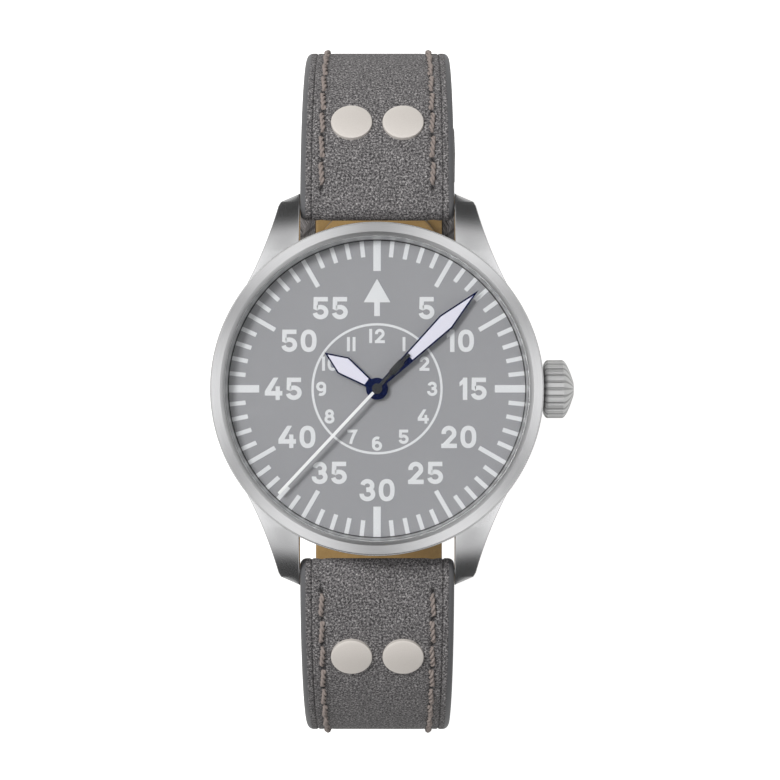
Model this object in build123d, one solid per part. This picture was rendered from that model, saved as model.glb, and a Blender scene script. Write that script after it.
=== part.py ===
from build123d import *
import math
import os

# Pilot watch. Lengths are in millimetres and angles in degrees.
# The origin is the centre of the case back's outer face. +Z points out through the
# crystal, +Y to twelve o'clock and +X to the crown.

# Shared by several pieces
cut_overrun = 2.0
running_clearance = 0.04
seat_gap = 0.1

# Case
case_diameter = 42.6
case_height = 7.7
case_edge_round = 0.4
back_rim_thickness = 0.7
wall_thickness = 2.9
dial_seat_depth = 1.3
dial_seat_width = 1.1
back_thread_diameter = 34.6
back_thread_height = 1.6

# Lugs
lug_gap = 20.0
lug_reach = 25.3
lug_start = 11.0
lug_tip_slope = 24.7
lug_tip_width = 2.45
lug_outer_reach = 23.6
lug_outer_width = 2.75
lug_root_reach = 12.6
lug_root_width = 7.0
lug_bow = 0.2
lug_drop = 0.2
lug_tip_height = 2.6
lug_tip_round = 1.0
lug_arch_height = 0.9

# Bezel and crystal
bezel_diameter = 42.0
bezel_height = 2.2
bezel_opening = 39.5
bezel_ledge = 0.3
bezel_ledge_height = 0.9
bezel_chamfer = 0.1
crystal_diameter = 39.0
crystal_edge_height = 1.4
crystal_dome = 0.5
crystal_gasket_height = 1.2
flange_width_bottom = 0.55
flange_width_top = 0.15

# Dial
dial_thickness = 0.4
dial_hole = 2.0
dial_foot_diameter = 0.7
dial_foot_circle = 11.2
print_thickness = 0.03
minute_track_radius = 18.8
minute_tick_length = 1.98
minute_tick_width = 0.55
hour_tick_length = 3.81
hour_tick_width = 0.57
quarter_tick_length = 3.81
quarter_tick_width = 0.95
triangle_apex = 14.0
triangle_base = 11.0
triangle_half_width = 1.7
triangle_stem_end = 9.25
triangle_stem_width = 0.72
hour_circle_radius = 8.2
hour_circle_width = 0.3

# Hands
hand_lift = 0.55
hand_step = 0.38
hand_thickness = 0.15
hand_rim = 0.2
hand_hub_radius = 1.4
hour_hand_length = 8.13
hour_hand_belly = 5.2
hour_hand_width = 2.5
hour_hand_neck = 0.75
hour_hand_angle = 304.6
minute_hand_length = 18.0
minute_hand_belly = 12.2
minute_hand_width = 2.24
minute_hand_neck = 0.6
minute_lume_start = 5.8
minute_hand_angle = 45.9
second_hand_length = 18.25
second_hand_width = 0.39
second_hub_radius = 0.67
counterweight_bar_width = 0.5
counterweight_start = 2.72
counterweight_end = 4.67
counterweight_width = 0.87
counterweight_tail = 6.0
second_hand_angle = 223.1

# Crown, stem and tube
crown_height_above_back = 4.2
crown_diameter = 7.5
crown_length = 3.85
crown_chamfer = 0.5
crown_cylinder_length = 1.8
crown_tip_radius = 0.9
crown_bow = 0.35
crown_flutes = 24
crown_flute_radius = 0.34
crown_gap = 0.1
crown_recess_depth = 1.5
crown_gasket_width = 0.3
tube_diameter = 2.4
tube_bore = 1.2
tube_stand_out = 1.0
stem_diameter = 0.9
stem_start = 9.0
stem_square = 0.62
stem_square_length = 1.9

# Movement: levels above the back, from the back to the dial
movement_diameter = 25.6
winding_wheel_low = 1.75
winding_wheel_thickness = 0.3
bridge_low = 2.15
bridge_thickness = 0.6
plate_low = 5.15
plate_thickness = 1.0
plate_rim_width = 0.8
plate_bore_clearance = 0.05
holder_clearance = 0.05
cock_low = 1.65
cock_width = 2.6
arbor_radius = 0.2
slim_arbor_radius = 0.15
wheel_thickness = 0.15

# Gear teeth, as shares of the module or of one tooth's step
addendum_share = 0.7
dedendum_share = 1.1
root_half_share = 0.21
tip_half_share = 0.09

# Going train
third_distance = 4.4
third_angle = 176.0
barrel_distance = 6.3
barrel_angle = 43.5
escape_distance = 4.3
escape_angle = -120.0
balance_distance = 7.8
balance_angle = -94.0
centre_teeth = 80
third_leaves = 10
third_teeth = 75
fourth_leaves = 10
fourth_teeth = 80
escape_leaves = 8
barrel_teeth = 72
centre_leaves = 12
fourth_low = 2.9
third_low = 3.25
escape_low = 3.5
centre_low = 4.65
pinion_length = 0.4
centre_pinion_length = 0.7
barrel_low = 3.2
barrel_height = 1.3
barrel_wall = 0.25
barrel_drum_inset = 0.3
barrel_tooth_height = 0.4
barrel_core_radius = 1.1
barrel_arbor_radius = 0.6
mainspring_turns = 6
mainspring_thickness = 0.12

# Escapement
escape_teeth = 15
escape_radius = 1.8
escape_root_share = 0.72
pallet_half_span = 30.0
pallet_stone_width = 0.22
pallet_stone_gap = 0.05
pallet_arm_width = 0.3
fork_notch_width = 0.3
impulse_radius = 0.55
impulse_pin_radius = 0.08
balance_radius = 3.6
balance_rim_width = 0.45
balance_low = 2.95
balance_height = 0.3
balance_arm_width = 0.4
roller_radius = 0.8
roller_low = 3.3
hairspring_low = 2.5
hairspring_outer = 1.9
hairspring_inner = 0.45
hairspring_turns = 7
hairspring_thickness = 0.07
hairspring_height = 0.15

# Winding wheels
ratchet_distance = 6.2
ratchet_teeth = 80
crown_wheel_teeth = 44
crown_wheel_reach = 9.0
crown_wheel_post_radius = 0.5
winding_pinion_teeth = 20
winding_pinion_radius = 2.05
winding_pinion_start = 10.9
winding_pinion_length = 1.2
sliding_pinion_radius = 1.2
sliding_pinion_start = 9.5
sliding_pinion_length = 1.2

# Motion work
motion_distance = 2.8
motion_angle = -45.0
cannon_leaves = 10
minute_wheel_teeth = 30
minute_leaves = 8
hour_wheel_teeth = 32
cannon_pipe_radius = 0.55
hour_pipe_radius = 0.85
pipe_wall = 0.15
motion_gap = 0.1
motion_step = 0.3

# Movement screws
screw_count = 3
screw_head_radius = 0.42
screw_head_height = 0.25
screw_shank_radius = 0.22
screw_length = 1.6
screw_first_angle = 90.0

# Case back
back_diameter = 36.6
back_plate_thickness = 1.2
back_ring_width = 0.9
back_notches = 6
back_notch_width = 3.0
back_notch_depth = 1.1
back_notch_height = 0.35
back_gasket_width = 0.5
back_gasket_height = 0.5
back_gasket_inset = 0.55

# Spring bars
bar_reach = 23.5
bar_height = 2.5
bar_radius = 0.75
bar_length = 17.6
bar_tip_radius = 0.45
bar_tip_out = 0.9
bar_tip_collar = 0.62
bar_bore_length = 4.6
bar_end_lip = 0.6

# Strap
strap_width_at_lugs = 19.9
strap_width_at_buckle = 18.2
strap_radius = 25.0
leather_thickness = 1.2
filler_thickness = 1.2
lining_thickness = 1.0
strap_fall_angle = 5.9
strap_short_straight = 4.3
strap_rise_angle = 9.0
strap_rise_length = 20.35
strap_flat_length = 14.3
strap_tail_length = 6.9
tail_gap = 0.4
fold_length = 1.95
stitch_inset = 2.75
stitch_first = 2.4
stitch_pitch = 3.8
stitch_length = 2.9
stitch_width = 0.7
stitch_height = 0.3
stitch_lift = 0.05
stitch_end_margin = 3.5
punch_count = 7
punch_pitch = 6.5
punch_diameter = 2.2
punch_from_end = 26.0

# Rivets
rivet_distance = 11.7
rivet_spacing = 6.7
rivet_head_diameter = 5.35
rivet_head_height = 0.6
rivet_edge_height = 0.25
rivet_seat_depth = 0.15
rivet_shank_diameter = 2.0
rivet_washer_diameter = 4.0
rivet_washer_height = 0.3

# Buckle and keepers
buckle_inner_width = 19.0
buckle_side_width = 1.9
buckle_front_width = 2.0
buckle_length = 15.2
buckle_thickness = 1.8
buckle_corner = 2.2
buckle_end_reach = 1.3
buckle_bar_radius = 0.7
tongue_width = 1.9
tongue_thickness = 1.1
tongue_drop = 0.75
tongue_eye_radius = 1.35
tongue_slot_width = 2.5
tongue_overhang = 0.5
keeper_width = 6.0
keeper_wall = 1.2
keeper_room = 3.7
keeper_side_gap = 0.15
fixed_keeper_side = 2.2
keeper_clearance = 0.35
fixed_keeper_place = 0.8
free_keeper_gap = 3.7
free_keeper_room_width = 19.4

# Worked out from the sizes above
case_radius = case_diameter / 2
case_low = back_rim_thickness
case_high = case_low + case_height
bezel_high = case_high + bezel_height
dial_seat_radius = case_radius - wall_thickness + dial_seat_width
dial_low = case_high - dial_seat_depth
dial_high = dial_low + dial_thickness
cavity_radius = case_radius - wall_thickness
thread_radius = back_thread_diameter / 2
crystal_low = case_high + bezel_ledge_height
plate_high = plate_low + plate_thickness
bridge_high = bridge_low + bridge_thickness
movement_radius = movement_diameter / 2
plate_rim_inner = movement_radius - plate_rim_width
hour_hand_low = dial_high + hand_lift
minute_hand_low = hour_hand_low + hand_step
second_hand_low = minute_hand_low + hand_step
stem_height = crown_height_above_back
crown_start = case_radius + crown_gap
strap_thickness = leather_thickness + filler_thickness + lining_thickness
fourth_pinion_low = third_low - (pinion_length - wheel_thickness) / 2
third_pinion_low = centre_low - (pinion_length - wheel_thickness) / 2
escape_pinion_low = fourth_low - (pinion_length - wheel_thickness) / 2
centre_pinion_low = fourth_pinion_low + pinion_length + seat_gap
barrel_tooth_low = centre_pinion_low + (centre_pinion_length - barrel_tooth_height) / 2
motion_low = plate_high + motion_gap
centre_arbor_radius = slim_arbor_radius + running_clearance + pipe_wall


def polar(radius, angle):
    """Point at a radius and an angle from +X."""
    turn = math.radians(angle)
    return (radius * math.cos(turn), radius * math.sin(turn))


def sum_of(first, second):
    """Two points or arrows added."""
    return (first[0] + second[0], first[1] + second[1])


def raised(face, low, height):
    """Flat face on the ground plane made a solid from one level up."""
    return Pos(0, 0, low) * extrude(face, height)


def disc(radius, low, high, place=(0, 0)):
    return Pos(*place) * raised(Circle(radius), low, high - low)


def ring(outer, inner, low, high, place=(0, 0)):
    return Pos(*place) * raised(Circle(outer) - Circle(inner), low, high - low)


def rod(radius, start, end, y=0, z=0):
    """Round bar along X."""
    return Pos(start, y, z) * Rot(0, 90, 0) * Cylinder(
        radius, end - start, align=(Align.CENTER, Align.CENTER, Align.MIN))


def block(x_range, y_range, z_range):
    """Box given by its lowest and highest value on each axis."""
    sizes = [high - low for low, high in (x_range, y_range, z_range)]
    middle = [(high + low) / 2 for low, high in (x_range, y_range, z_range)]
    return Pos(*middle) * Box(*sizes)


def turned(points):
    """Outline of (radius, level) points turned about the watch's axis."""
    return revolve(Plane.XZ * make_face(Polyline(*points, close=True)), Axis.Z)


def tooth_outline(teeth, pitch_radius, phase):
    """Face with straight-sided teeth; phase is the angle of the middle of one tooth."""
    module = 2 * pitch_radius / teeth
    root = pitch_radius - dedendum_share * module
    tip = pitch_radius + addendum_share * module
    step = 360 / teeth
    corners = ((root, -root_half_share), (tip, -tip_half_share),
               (tip, tip_half_share), (root, root_half_share))
    points = []
    for index in range(teeth):
        middle = phase + index * step
        points += [polar(radius, middle + share * step) for radius, share in corners]
    return make_face(Polyline(*points, close=True))


def gear(teeth, pitch_radius, low, thickness, phase, bore=0):
    face = tooth_outline(teeth, pitch_radius, phase)
    if bore:
        face -= Circle(bore)
    return raised(face, low, thickness)


def shared_radii(distance, first_teeth, second_teeth):
    """Pitch radii of two wheels in mesh at a distance."""
    total = first_teeth + second_teeth
    return distance * first_teeth / total, distance * second_teeth / total


# Levels and places of the train, from its tooth counts
third_place = polar(third_distance, third_angle)
barrel_place = polar(barrel_distance, barrel_angle)
escape_place = polar(escape_distance, escape_angle)
balance_place = polar(balance_distance, balance_angle)
motion_place = polar(motion_distance, motion_angle)
crown_wheel_place = (crown_wheel_reach, 0)
centre_pitch, third_pinion_pitch = shared_radii(third_distance, centre_teeth, third_leaves)
third_pitch, fourth_pinion_pitch = shared_radii(third_distance, third_teeth, fourth_leaves)
fourth_pitch, escape_pinion_pitch = shared_radii(escape_distance, fourth_teeth, escape_leaves)
barrel_pitch, centre_pinion_pitch = shared_radii(barrel_distance, barrel_teeth, centre_leaves)
ratchet_pitch, crown_wheel_pitch = shared_radii(ratchet_distance, ratchet_teeth, crown_wheel_teeth)
cannon_pitch, minute_wheel_pitch = shared_radii(motion_distance, cannon_leaves, minute_wheel_teeth)
minute_pinion_pitch, hour_wheel_pitch = shared_radii(motion_distance, minute_leaves, hour_wheel_teeth)
barrel_drum_radius = barrel_pitch - barrel_drum_inset
escape_to_balance = math.dist(escape_place, balance_place)
escapement_angle = math.degrees(math.atan2(balance_place[1] - escape_place[1],
                                           balance_place[0] - escape_place[0]))
pallet_distance = escape_radius / math.cos(math.radians(pallet_half_span))
pallet_place = sum_of(escape_place, polar(pallet_distance, escapement_angle))


def lug():
    """One lug at +X, +Y: its plan cut by the arch of its side."""
    inner = lug_gap / 2
    tip_outer = inner + lug_tip_width
    outer_x = inner + lug_outer_width
    root_x = inner + lug_root_width
    tip_outer_y = lug_reach - lug_tip_width * math.tan(math.radians(lug_tip_slope))
    middle = ((outer_x + root_x) / 2 - lug_bow * 2, (lug_outer_reach + lug_root_reach) / 2)
    plan = make_face([
        Line((inner, 0), (inner, lug_reach)),
        Line((inner, lug_reach), (tip_outer, tip_outer_y)),
        Line((tip_outer, tip_outer_y), (outer_x, lug_outer_reach)),
        ThreePointArc((outer_x, lug_outer_reach), middle, (root_x, lug_root_reach)),
        Line((root_x, lug_root_reach), (inner + lug_tip_width, 0)),
        Line((inner + lug_tip_width, 0), (inner, 0))])
    start = (lug_start, case_high - lug_drop)
    tip = (lug_reach, lug_tip_height)
    bottom_tip = (lug_reach - lug_tip_round, 0)
    arch = make_face([
        TangentArc(start, tip, tangent=(1, 0)),
        ThreePointArc(tip, (lug_reach - lug_tip_round / 3, lug_tip_height / 3), bottom_tip),
        Line(bottom_tip, (back_diameter / 2 + lug_tip_round * 2, lug_arch_height)),
        Line((back_diameter / 2 + lug_tip_round * 2, lug_arch_height), (0, lug_arch_height)),
        Line((0, lug_arch_height), (0, case_high - lug_drop)),
        Line((0, case_high - lug_drop), start)])
    tall = extrude(plan, case_high)
    side = extrude(Plane.YZ * arch, case_radius)
    return tall & side


def case_body():
    """Middle of the case with its lugs, bored for movement, dial, back and tube."""
    middle = disc(case_radius, case_low, case_high)
    middle = fillet(middle.edges().filter_by(GeomType.CIRCLE).sort_by(Axis.Z)[-1], case_edge_round)
    lugs = lug()
    body = middle
    for flip_x in (False, True):
        for flip_y in (False, True):
            piece = lugs
            if flip_x:
                piece = mirror(piece, about=Plane.YZ)
            if flip_y:
                piece = mirror(piece, about=Plane.XZ)
            body += piece
    body -= disc(thread_radius, -cut_overrun, case_low + back_thread_height)
    body -= disc(cavity_radius, case_low + back_thread_height, dial_low)
    body -= disc(dial_seat_radius, dial_low, case_high + cut_overrun)
    groove_outer = thread_radius + back_gasket_inset
    body -= ring(groove_outer, groove_outer - back_gasket_width, case_low - cut_overrun,
                 case_low + back_gasket_height)
    body -= rod(tube_diameter / 2, cavity_radius - cut_overrun, case_radius + cut_overrun, z=stem_height)
    for side in (-1, 1):
        hole = rod(bar_tip_radius + running_clearance, -lug_gap / 2 - bar_tip_out - seat_gap,
                   lug_gap / 2 + bar_tip_out + seat_gap, side * bar_reach, bar_height)
        body -= hole
    return body


def bezel():
    outer = bezel_diameter / 2
    opening = bezel_opening / 2
    ledge = opening - bezel_ledge
    return turned([
        (ledge, case_high), (outer - bezel_chamfer, case_high), (outer, case_high + bezel_chamfer),
        (outer, bezel_high - bezel_chamfer), (outer - bezel_chamfer, bezel_high),
        (opening + bezel_chamfer / 2, bezel_high), (opening, bezel_high - bezel_chamfer / 2),
        (opening, crystal_low), (ledge, crystal_low)])


def crystal():
    """Slightly domed glass seated on the bezel's ledge."""
    radius = crystal_diameter / 2
    edge = crystal_low + crystal_edge_height
    half = make_face([
        Line((0, crystal_low), (radius, crystal_low)),
        Line((radius, crystal_low), (radius, edge - bezel_chamfer)),
        Line((radius, edge - bezel_chamfer), (radius - bezel_chamfer, edge)),
        TangentArc((0, edge + crystal_dome), (radius - bezel_chamfer, edge), tangent=(1, 0)),
        Line((0, edge + crystal_dome), (0, crystal_low))])
    return revolve(Plane.XZ * half, Axis.Z)


def crystal_gasket():
    return ring(bezel_opening / 2, crystal_diameter / 2, crystal_low, crystal_low + crystal_gasket_height)


def flange_ring():
    """Sloping ring between the dial and the crystal."""
    outer = bezel_opening / 2 - bezel_ledge - seat_gap / 2
    return turned([
        (outer - flange_width_bottom, dial_high), (outer, dial_high),
        (outer, crystal_low), (outer - flange_width_top, crystal_low)])


def dial():
    radius = bezel_opening / 2 - bezel_ledge - seat_gap / 2
    plate = ring(radius, dial_hole / 2, dial_low, dial_high)
    for angle in (motion_angle, motion_angle + 180):
        plate += disc(dial_foot_diameter / 2, plate_low, dial_low, polar(dial_foot_circle, angle))
    return plate


def bar_mark(outer_radius, length, width, angle):
    """Straight mark on the dial that ends at a radius, at an angle from twelve."""
    mark = Pos(0, outer_radius - length / 2) * Rectangle(width, length)
    return raised(Rot(0, 0, -angle) * mark, dial_high, print_thickness)


def dial_markings():
    """Printed minute track, triangle and hour circle."""
    marks = []
    for minute in range(60):
        if minute % 15 == 0:
            size = (quarter_tick_length, quarter_tick_width)
        elif minute % 5 == 0:
            size = (hour_tick_length, hour_tick_width)
        else:
            size = (minute_tick_length, minute_tick_width)
        marks.append(bar_mark(minute_track_radius, *size, minute * 6))
    triangle = make_face(Polyline((0, triangle_apex), (triangle_half_width, triangle_base),
                                  (-triangle_half_width, triangle_base), close=True))
    stem_length = triangle_apex - triangle_stem_end
    stem = Pos(0, triangle_apex - stem_length / 2 - triangle_half_width / 2) * Rectangle(
        triangle_stem_width, stem_length - triangle_half_width)
    marks.append(raised(triangle + stem, dial_high, print_thickness))
    marks.append(ring(hour_circle_radius + hour_circle_width / 2, hour_circle_radius - hour_circle_width / 2,
                      dial_high, dial_high + print_thickness))
    return Compound(children=marks)


def blade(length, belly, width, neck, start, shrink=0):
    """Outline of a hand along +Y that swells to its belly and narrows to its tip."""
    slope = math.hypot(width / 2, length - belly) / (width / 2)
    right = [(neck / 2 - shrink, start), (width / 2 - shrink, belly), (0, length - shrink * slope)]
    left = [(-x, y) for x, y in right[:2]]
    return make_face(Polyline(*right, *reversed(left), close=True))


def hour_hand():
    face = blade(hour_hand_length, hour_hand_belly, hour_hand_width, hour_hand_neck, 0)
    face -= blade(hour_hand_length, hour_hand_belly, hour_hand_width, hour_hand_neck,
                  hand_hub_radius + hand_rim, hand_rim)
    face += Circle(hand_hub_radius)
    face -= Circle(hour_pipe_radius)
    return raised(Rot(0, 0, -hour_hand_angle) * face, hour_hand_low, hand_thickness)


def hour_hand_lume():
    face = blade(hour_hand_length, hour_hand_belly, hour_hand_width, hour_hand_neck,
                 hand_hub_radius + hand_rim, hand_rim)
    return raised(Rot(0, 0, -hour_hand_angle) * face, hour_hand_low, hand_thickness)


def minute_lume_face():
    """Lume window of the minute hand, which starts part of the way up the blade."""
    share = minute_lume_start / minute_hand_belly
    width_there = minute_hand_neck + (minute_hand_width - minute_hand_neck) * share
    return blade(minute_hand_length, minute_hand_belly, minute_hand_width, width_there,
                 minute_lume_start, hand_rim)


def minute_hand():
    face = blade(minute_hand_length, minute_hand_belly, minute_hand_width, minute_hand_neck, 0)
    face -= minute_lume_face()
    face += Circle(hand_hub_radius - hand_rim)
    face -= Circle(cannon_pipe_radius)
    return raised(Rot(0, 0, -minute_hand_angle) * face, minute_hand_low, hand_thickness)


def minute_hand_lume():
    face = Rot(0, 0, -minute_hand_angle) * minute_lume_face()
    return raised(face, minute_hand_low, hand_thickness)


def upright(start, end, width):
    """Flat bar along Y, centred on the axis."""
    return Pos(0, (start + end) / 2) * Rectangle(width, abs(end - start))


def second_hand():
    face = upright(0, second_hand_length, second_hand_width)
    face += upright(0, -counterweight_tail, counterweight_bar_width)
    face += upright(-counterweight_start, -counterweight_end, counterweight_width)
    face += Circle(second_hub_radius)
    face -= Circle(slim_arbor_radius)
    hand = raised(Rot(0, 0, -second_hand_angle) * face, second_hand_low, hand_thickness)
    hub = ring(second_hub_radius, slim_arbor_radius, second_hand_low + hand_thickness,
               second_hand_low + 2 * hand_thickness)
    return hand + hub


def main_plate():
    """Plate under the dial with a rim that carries the bridges and bores for every arbor."""
    plate = disc(movement_radius, plate_low, plate_high)
    plate += ring(movement_radius, plate_rim_inner, bridge_high, plate_low)
    bores = [((0, 0), centre_arbor_radius), (third_place, arbor_radius), (escape_place, slim_arbor_radius),
             (pallet_place, slim_arbor_radius), (balance_place, slim_arbor_radius),
             (barrel_place, barrel_arbor_radius)]
    for place, radius in bores:
        plate -= disc(radius + plate_bore_clearance, plate_low - cut_overrun, plate_high + cut_overrun, place)
    for angle in (motion_angle, motion_angle + 180):
        plate -= disc(dial_foot_diameter / 2 + running_clearance, plate_low - seat_gap,
                      plate_high + cut_overrun, polar(dial_foot_circle, angle))
    plate += disc(arbor_radius, plate_high, motion_low + 2 * motion_step, motion_place)
    half = winding_pinion_radius + seat_gap
    plate -= block((sliding_pinion_start - seat_gap * 2, movement_radius + cut_overrun), (-half, half),
                   (bridge_high - seat_gap, plate_high + cut_overrun))
    for place in screw_places():
        plate -= disc(screw_shank_radius, bridge_low, bridge_low + screw_length, place)
    return plate


def screw_places():
    radius = movement_radius - plate_rim_width / 2
    return [polar(radius, screw_first_angle + index * 360 / screw_count) for index in range(screw_count)]


def train_bridge():
    """Bridge over the barrel and the train, open over the balance."""
    bridge = disc(movement_radius, bridge_low, bridge_high)
    opening = balance_radius + balance_rim_width
    bridge -= disc(opening, bridge_low - cut_overrun, bridge_high + cut_overrun, balance_place)
    slot = block((0, movement_radius + cut_overrun), (-cock_width, cock_width),
                 (bridge_low - cut_overrun, bridge_high + cut_overrun))
    bridge -= Pos(*balance_place) * Rot(0, 0, balance_angle) * slot
    bores = [((0, 0), slim_arbor_radius), (third_place, arbor_radius),
             (escape_place, slim_arbor_radius), (barrel_place, barrel_arbor_radius)]
    for place, radius in bores:
        bridge -= disc(radius + plate_bore_clearance, bridge_low - cut_overrun, bridge_high + cut_overrun, place)
    half = winding_pinion_radius + seat_gap
    start = winding_pinion_start - seat_gap
    bridge -= block((start, start + winding_pinion_length + 2 * seat_gap), (-half, half),
                    (bridge_low - cut_overrun, bridge_high + cut_overrun))
    bridge += disc(crown_wheel_post_radius, winding_wheel_low, bridge_low, crown_wheel_place)
    for place in screw_places():
        bridge -= disc(screw_shank_radius, bridge_low - cut_overrun, bridge_high + cut_overrun, place)
    return bridge


def balance_bridge():
    """Cock that carries the balance, with its foot on the plate's rim."""
    reach = movement_radius - balance_distance
    high = cock_low + bridge_thickness
    arm = block((-cock_width / 2, reach - seat_gap), (-cock_width / 2, cock_width / 2), (cock_low, high))
    foot = block((reach - plate_rim_width * 2, reach - seat_gap), (-cock_width / 2, cock_width / 2),
                 (high, bridge_high))
    cock = Pos(*balance_place) * Rot(0, 0, balance_angle) * (arm + foot)
    bore = disc(slim_arbor_radius + plate_bore_clearance, cock_low - cut_overrun, high + cut_overrun,
                balance_place)
    return cock - bore


def movement_screws():
    """Bridge screws with slotted heads."""
    screws = []
    for place in screw_places():
        head = disc(screw_head_radius, bridge_low - screw_head_height, bridge_low, place)
        slot_half = screw_head_radius / 5
        slot = block((-screw_head_radius, screw_head_radius), (-slot_half, slot_half),
                     (bridge_low - screw_head_height, bridge_low - screw_head_height / 2))
        shank = disc(screw_shank_radius, bridge_low, bridge_low + screw_length, place)
        screws.append(head - Pos(*place) * slot + shank)
    return Compound(children=screws)


def movement_holder():
    """Ring between the movement and the case wall, slotted for the stem."""
    holder = ring(cavity_radius - seat_gap, movement_radius + holder_clearance,
                  bridge_high, dial_low)
    half = stem_diameter
    holder -= block((0, case_radius), (-half, half), (0, stem_height + half))
    return holder


def centre_wheel():
    """Centre wheel with its pinion on a hollow arbor."""
    bore = slim_arbor_radius + running_clearance
    wheel = gear(centre_teeth, centre_pitch, centre_low, wheel_thickness, third_angle, bore)
    pinion = gear(centre_leaves, centre_pinion_pitch, centre_pinion_low, centre_pinion_length,
                  barrel_angle + 180 / centre_leaves, bore)
    arbor = ring(centre_arbor_radius, bore, centre_pinion_low, motion_low + 3 * motion_step)
    return wheel + pinion + arbor


def third_wheel():
    toward = third_angle + 180
    wheel = gear(third_teeth, third_pitch, third_low, wheel_thickness, toward)
    pinion = gear(third_leaves, third_pinion_pitch, third_pinion_low, pinion_length,
                  toward + 180 / third_leaves)
    solid = Pos(*third_place) * (wheel + pinion)
    return solid + disc(arbor_radius, bridge_low, plate_high, third_place)


def fourth_wheel():
    """Fourth wheel, whose long arbor carries the second hand."""
    wheel = gear(fourth_teeth, fourth_pitch, fourth_low, wheel_thickness, escape_angle)
    pinion = gear(fourth_leaves, fourth_pinion_pitch, fourth_pinion_low, pinion_length,
                  third_angle + 180 / fourth_leaves)
    arbor = disc(slim_arbor_radius, bridge_low, second_hand_low + hand_thickness)
    return wheel + pinion + arbor


def escape_wheel():
    """Fifteen pointed teeth that lean forward, with the pinion on the same arbor."""
    root = escape_radius * escape_root_share
    step = 360 / escape_teeth
    points = []
    for index in range(escape_teeth):
        angle = escapement_angle + (index + 1 / 2) * step
        points += [polar(root, angle - step / 6), polar(escape_radius, angle),
                   polar(escape_radius, angle + step / 12), polar(root, angle + step / 6)]
    wheel = raised(make_face(Polyline(*points, close=True)), escape_low, wheel_thickness)
    pinion = gear(escape_leaves, escape_pinion_pitch, escape_pinion_low, pinion_length,
                  escape_angle + 180 + 180 / escape_leaves)
    solid = Pos(*escape_place) * (wheel + pinion)
    return solid + disc(slim_arbor_radius, bridge_low, plate_high, escape_place)


def pallet_fork():
    """Lever with two stones over the escape wheel and a fork towards the balance."""
    reach = pallet_distance * math.sin(math.radians(pallet_half_span))
    thickness = wheel_thickness
    fork_end = escape_to_balance - pallet_distance - impulse_radius - impulse_pin_radius - pallet_stone_gap
    lever = raised(Pos(fork_end / 2, 0) * Rectangle(fork_end, pallet_arm_width), escape_low, thickness)
    lever -= block((fork_end - fork_notch_width, fork_end + cut_overrun),
                   (-fork_notch_width / 4, fork_notch_width / 4),
                   (escape_low - cut_overrun, escape_low + cut_overrun))
    for side in (-1, 1):
        angle = 180 - side * (90 - pallet_half_span)
        start = polar(reach, angle)
        outward = pallet_stone_width / 2 + pallet_stone_gap
        centre_angle = side * pallet_half_span
        place = sum_of(start, polar(outward, centre_angle))
        stone = raised(Rectangle(pallet_stone_width, pallet_stone_width), escape_low, thickness)
        lever += Pos(*place) * Rot(0, 0, centre_angle) * stone
        link_length = math.hypot(*place)
        link_angle = math.degrees(math.atan2(place[1], place[0]))
        link = Pos(link_length / 2, 0) * Rectangle(link_length, pallet_stone_width)
        lever += raised(Rot(0, 0, link_angle) * link, escape_low, thickness)
    solid = Pos(*pallet_place) * Rot(0, 0, escapement_angle) * lever
    return solid + disc(slim_arbor_radius, escape_low - wheel_thickness, plate_high, pallet_place)


def balance_wheel():
    """Rim, two arms and staff, with the roller and its impulse pin."""
    rim = ring(balance_radius, balance_radius - balance_rim_width, balance_low, balance_low + balance_height)
    arms = raised(Rectangle(2 * balance_radius - balance_rim_width, balance_arm_width),
                  balance_low, balance_height)
    staff = disc(slim_arbor_radius, cock_low, plate_high)
    roller = disc(roller_radius - impulse_pin_radius, roller_low, roller_low + wheel_thickness)
    pin = disc(impulse_pin_radius, roller_low, escape_low + wheel_thickness, (-impulse_radius, 0))
    return Pos(*balance_place) * Rot(0, 0, escapement_angle) * (rim + arms + staff + roller + pin)


def spiral(inner, outer, turns, thickness, low, height):
    """Flat ribbon that winds outward at a steady rate, as one closed outline."""
    steps = turns * 24
    outer_side = []
    inner_side = []
    for index in range(steps + 1):
        radius = inner + (outer - inner) * index / steps
        angle = 360 * turns * index / steps
        outer_side.append(polar(radius + thickness / 2, angle))
        inner_side.append(polar(radius - thickness / 2, angle))
    return raised(make_face(Polyline(*outer_side, *reversed(inner_side), close=True)), low, height)


def hairspring():
    return Pos(*balance_place) * spiral(hairspring_inner, hairspring_outer, hairspring_turns,
                                        hairspring_thickness, hairspring_low, hairspring_height)


def barrel():
    """Drum open toward the plate, with teeth round its middle."""
    teeth = gear(barrel_teeth, barrel_pitch, barrel_tooth_low, barrel_tooth_height, barrel_angle + 180)
    drum = disc(barrel_drum_radius, barrel_low, barrel_low + barrel_height)
    hollow = disc(barrel_drum_radius - barrel_wall, barrel_low + barrel_wall,
                  barrel_low + barrel_height + cut_overrun)
    bore = disc(barrel_arbor_radius + running_clearance, barrel_low - cut_overrun,
                barrel_low + barrel_height + cut_overrun)
    return Pos(*barrel_place) * (teeth + drum - hollow - bore)


def mainspring():
    low = barrel_low + barrel_wall + seat_gap
    height = barrel_height - barrel_wall - 2 * seat_gap
    return Pos(*barrel_place) * spiral(barrel_core_radius + 2 * mainspring_thickness,
                                       barrel_drum_radius - barrel_wall - mainspring_thickness,
                                       mainspring_turns, mainspring_thickness, low, height)


def barrel_arbor():
    low = barrel_low + barrel_wall + seat_gap
    arbor = disc(barrel_arbor_radius, winding_wheel_low, plate_high, barrel_place)
    core = disc(barrel_core_radius, low, barrel_low + barrel_height, barrel_place)
    return arbor + core


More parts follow.
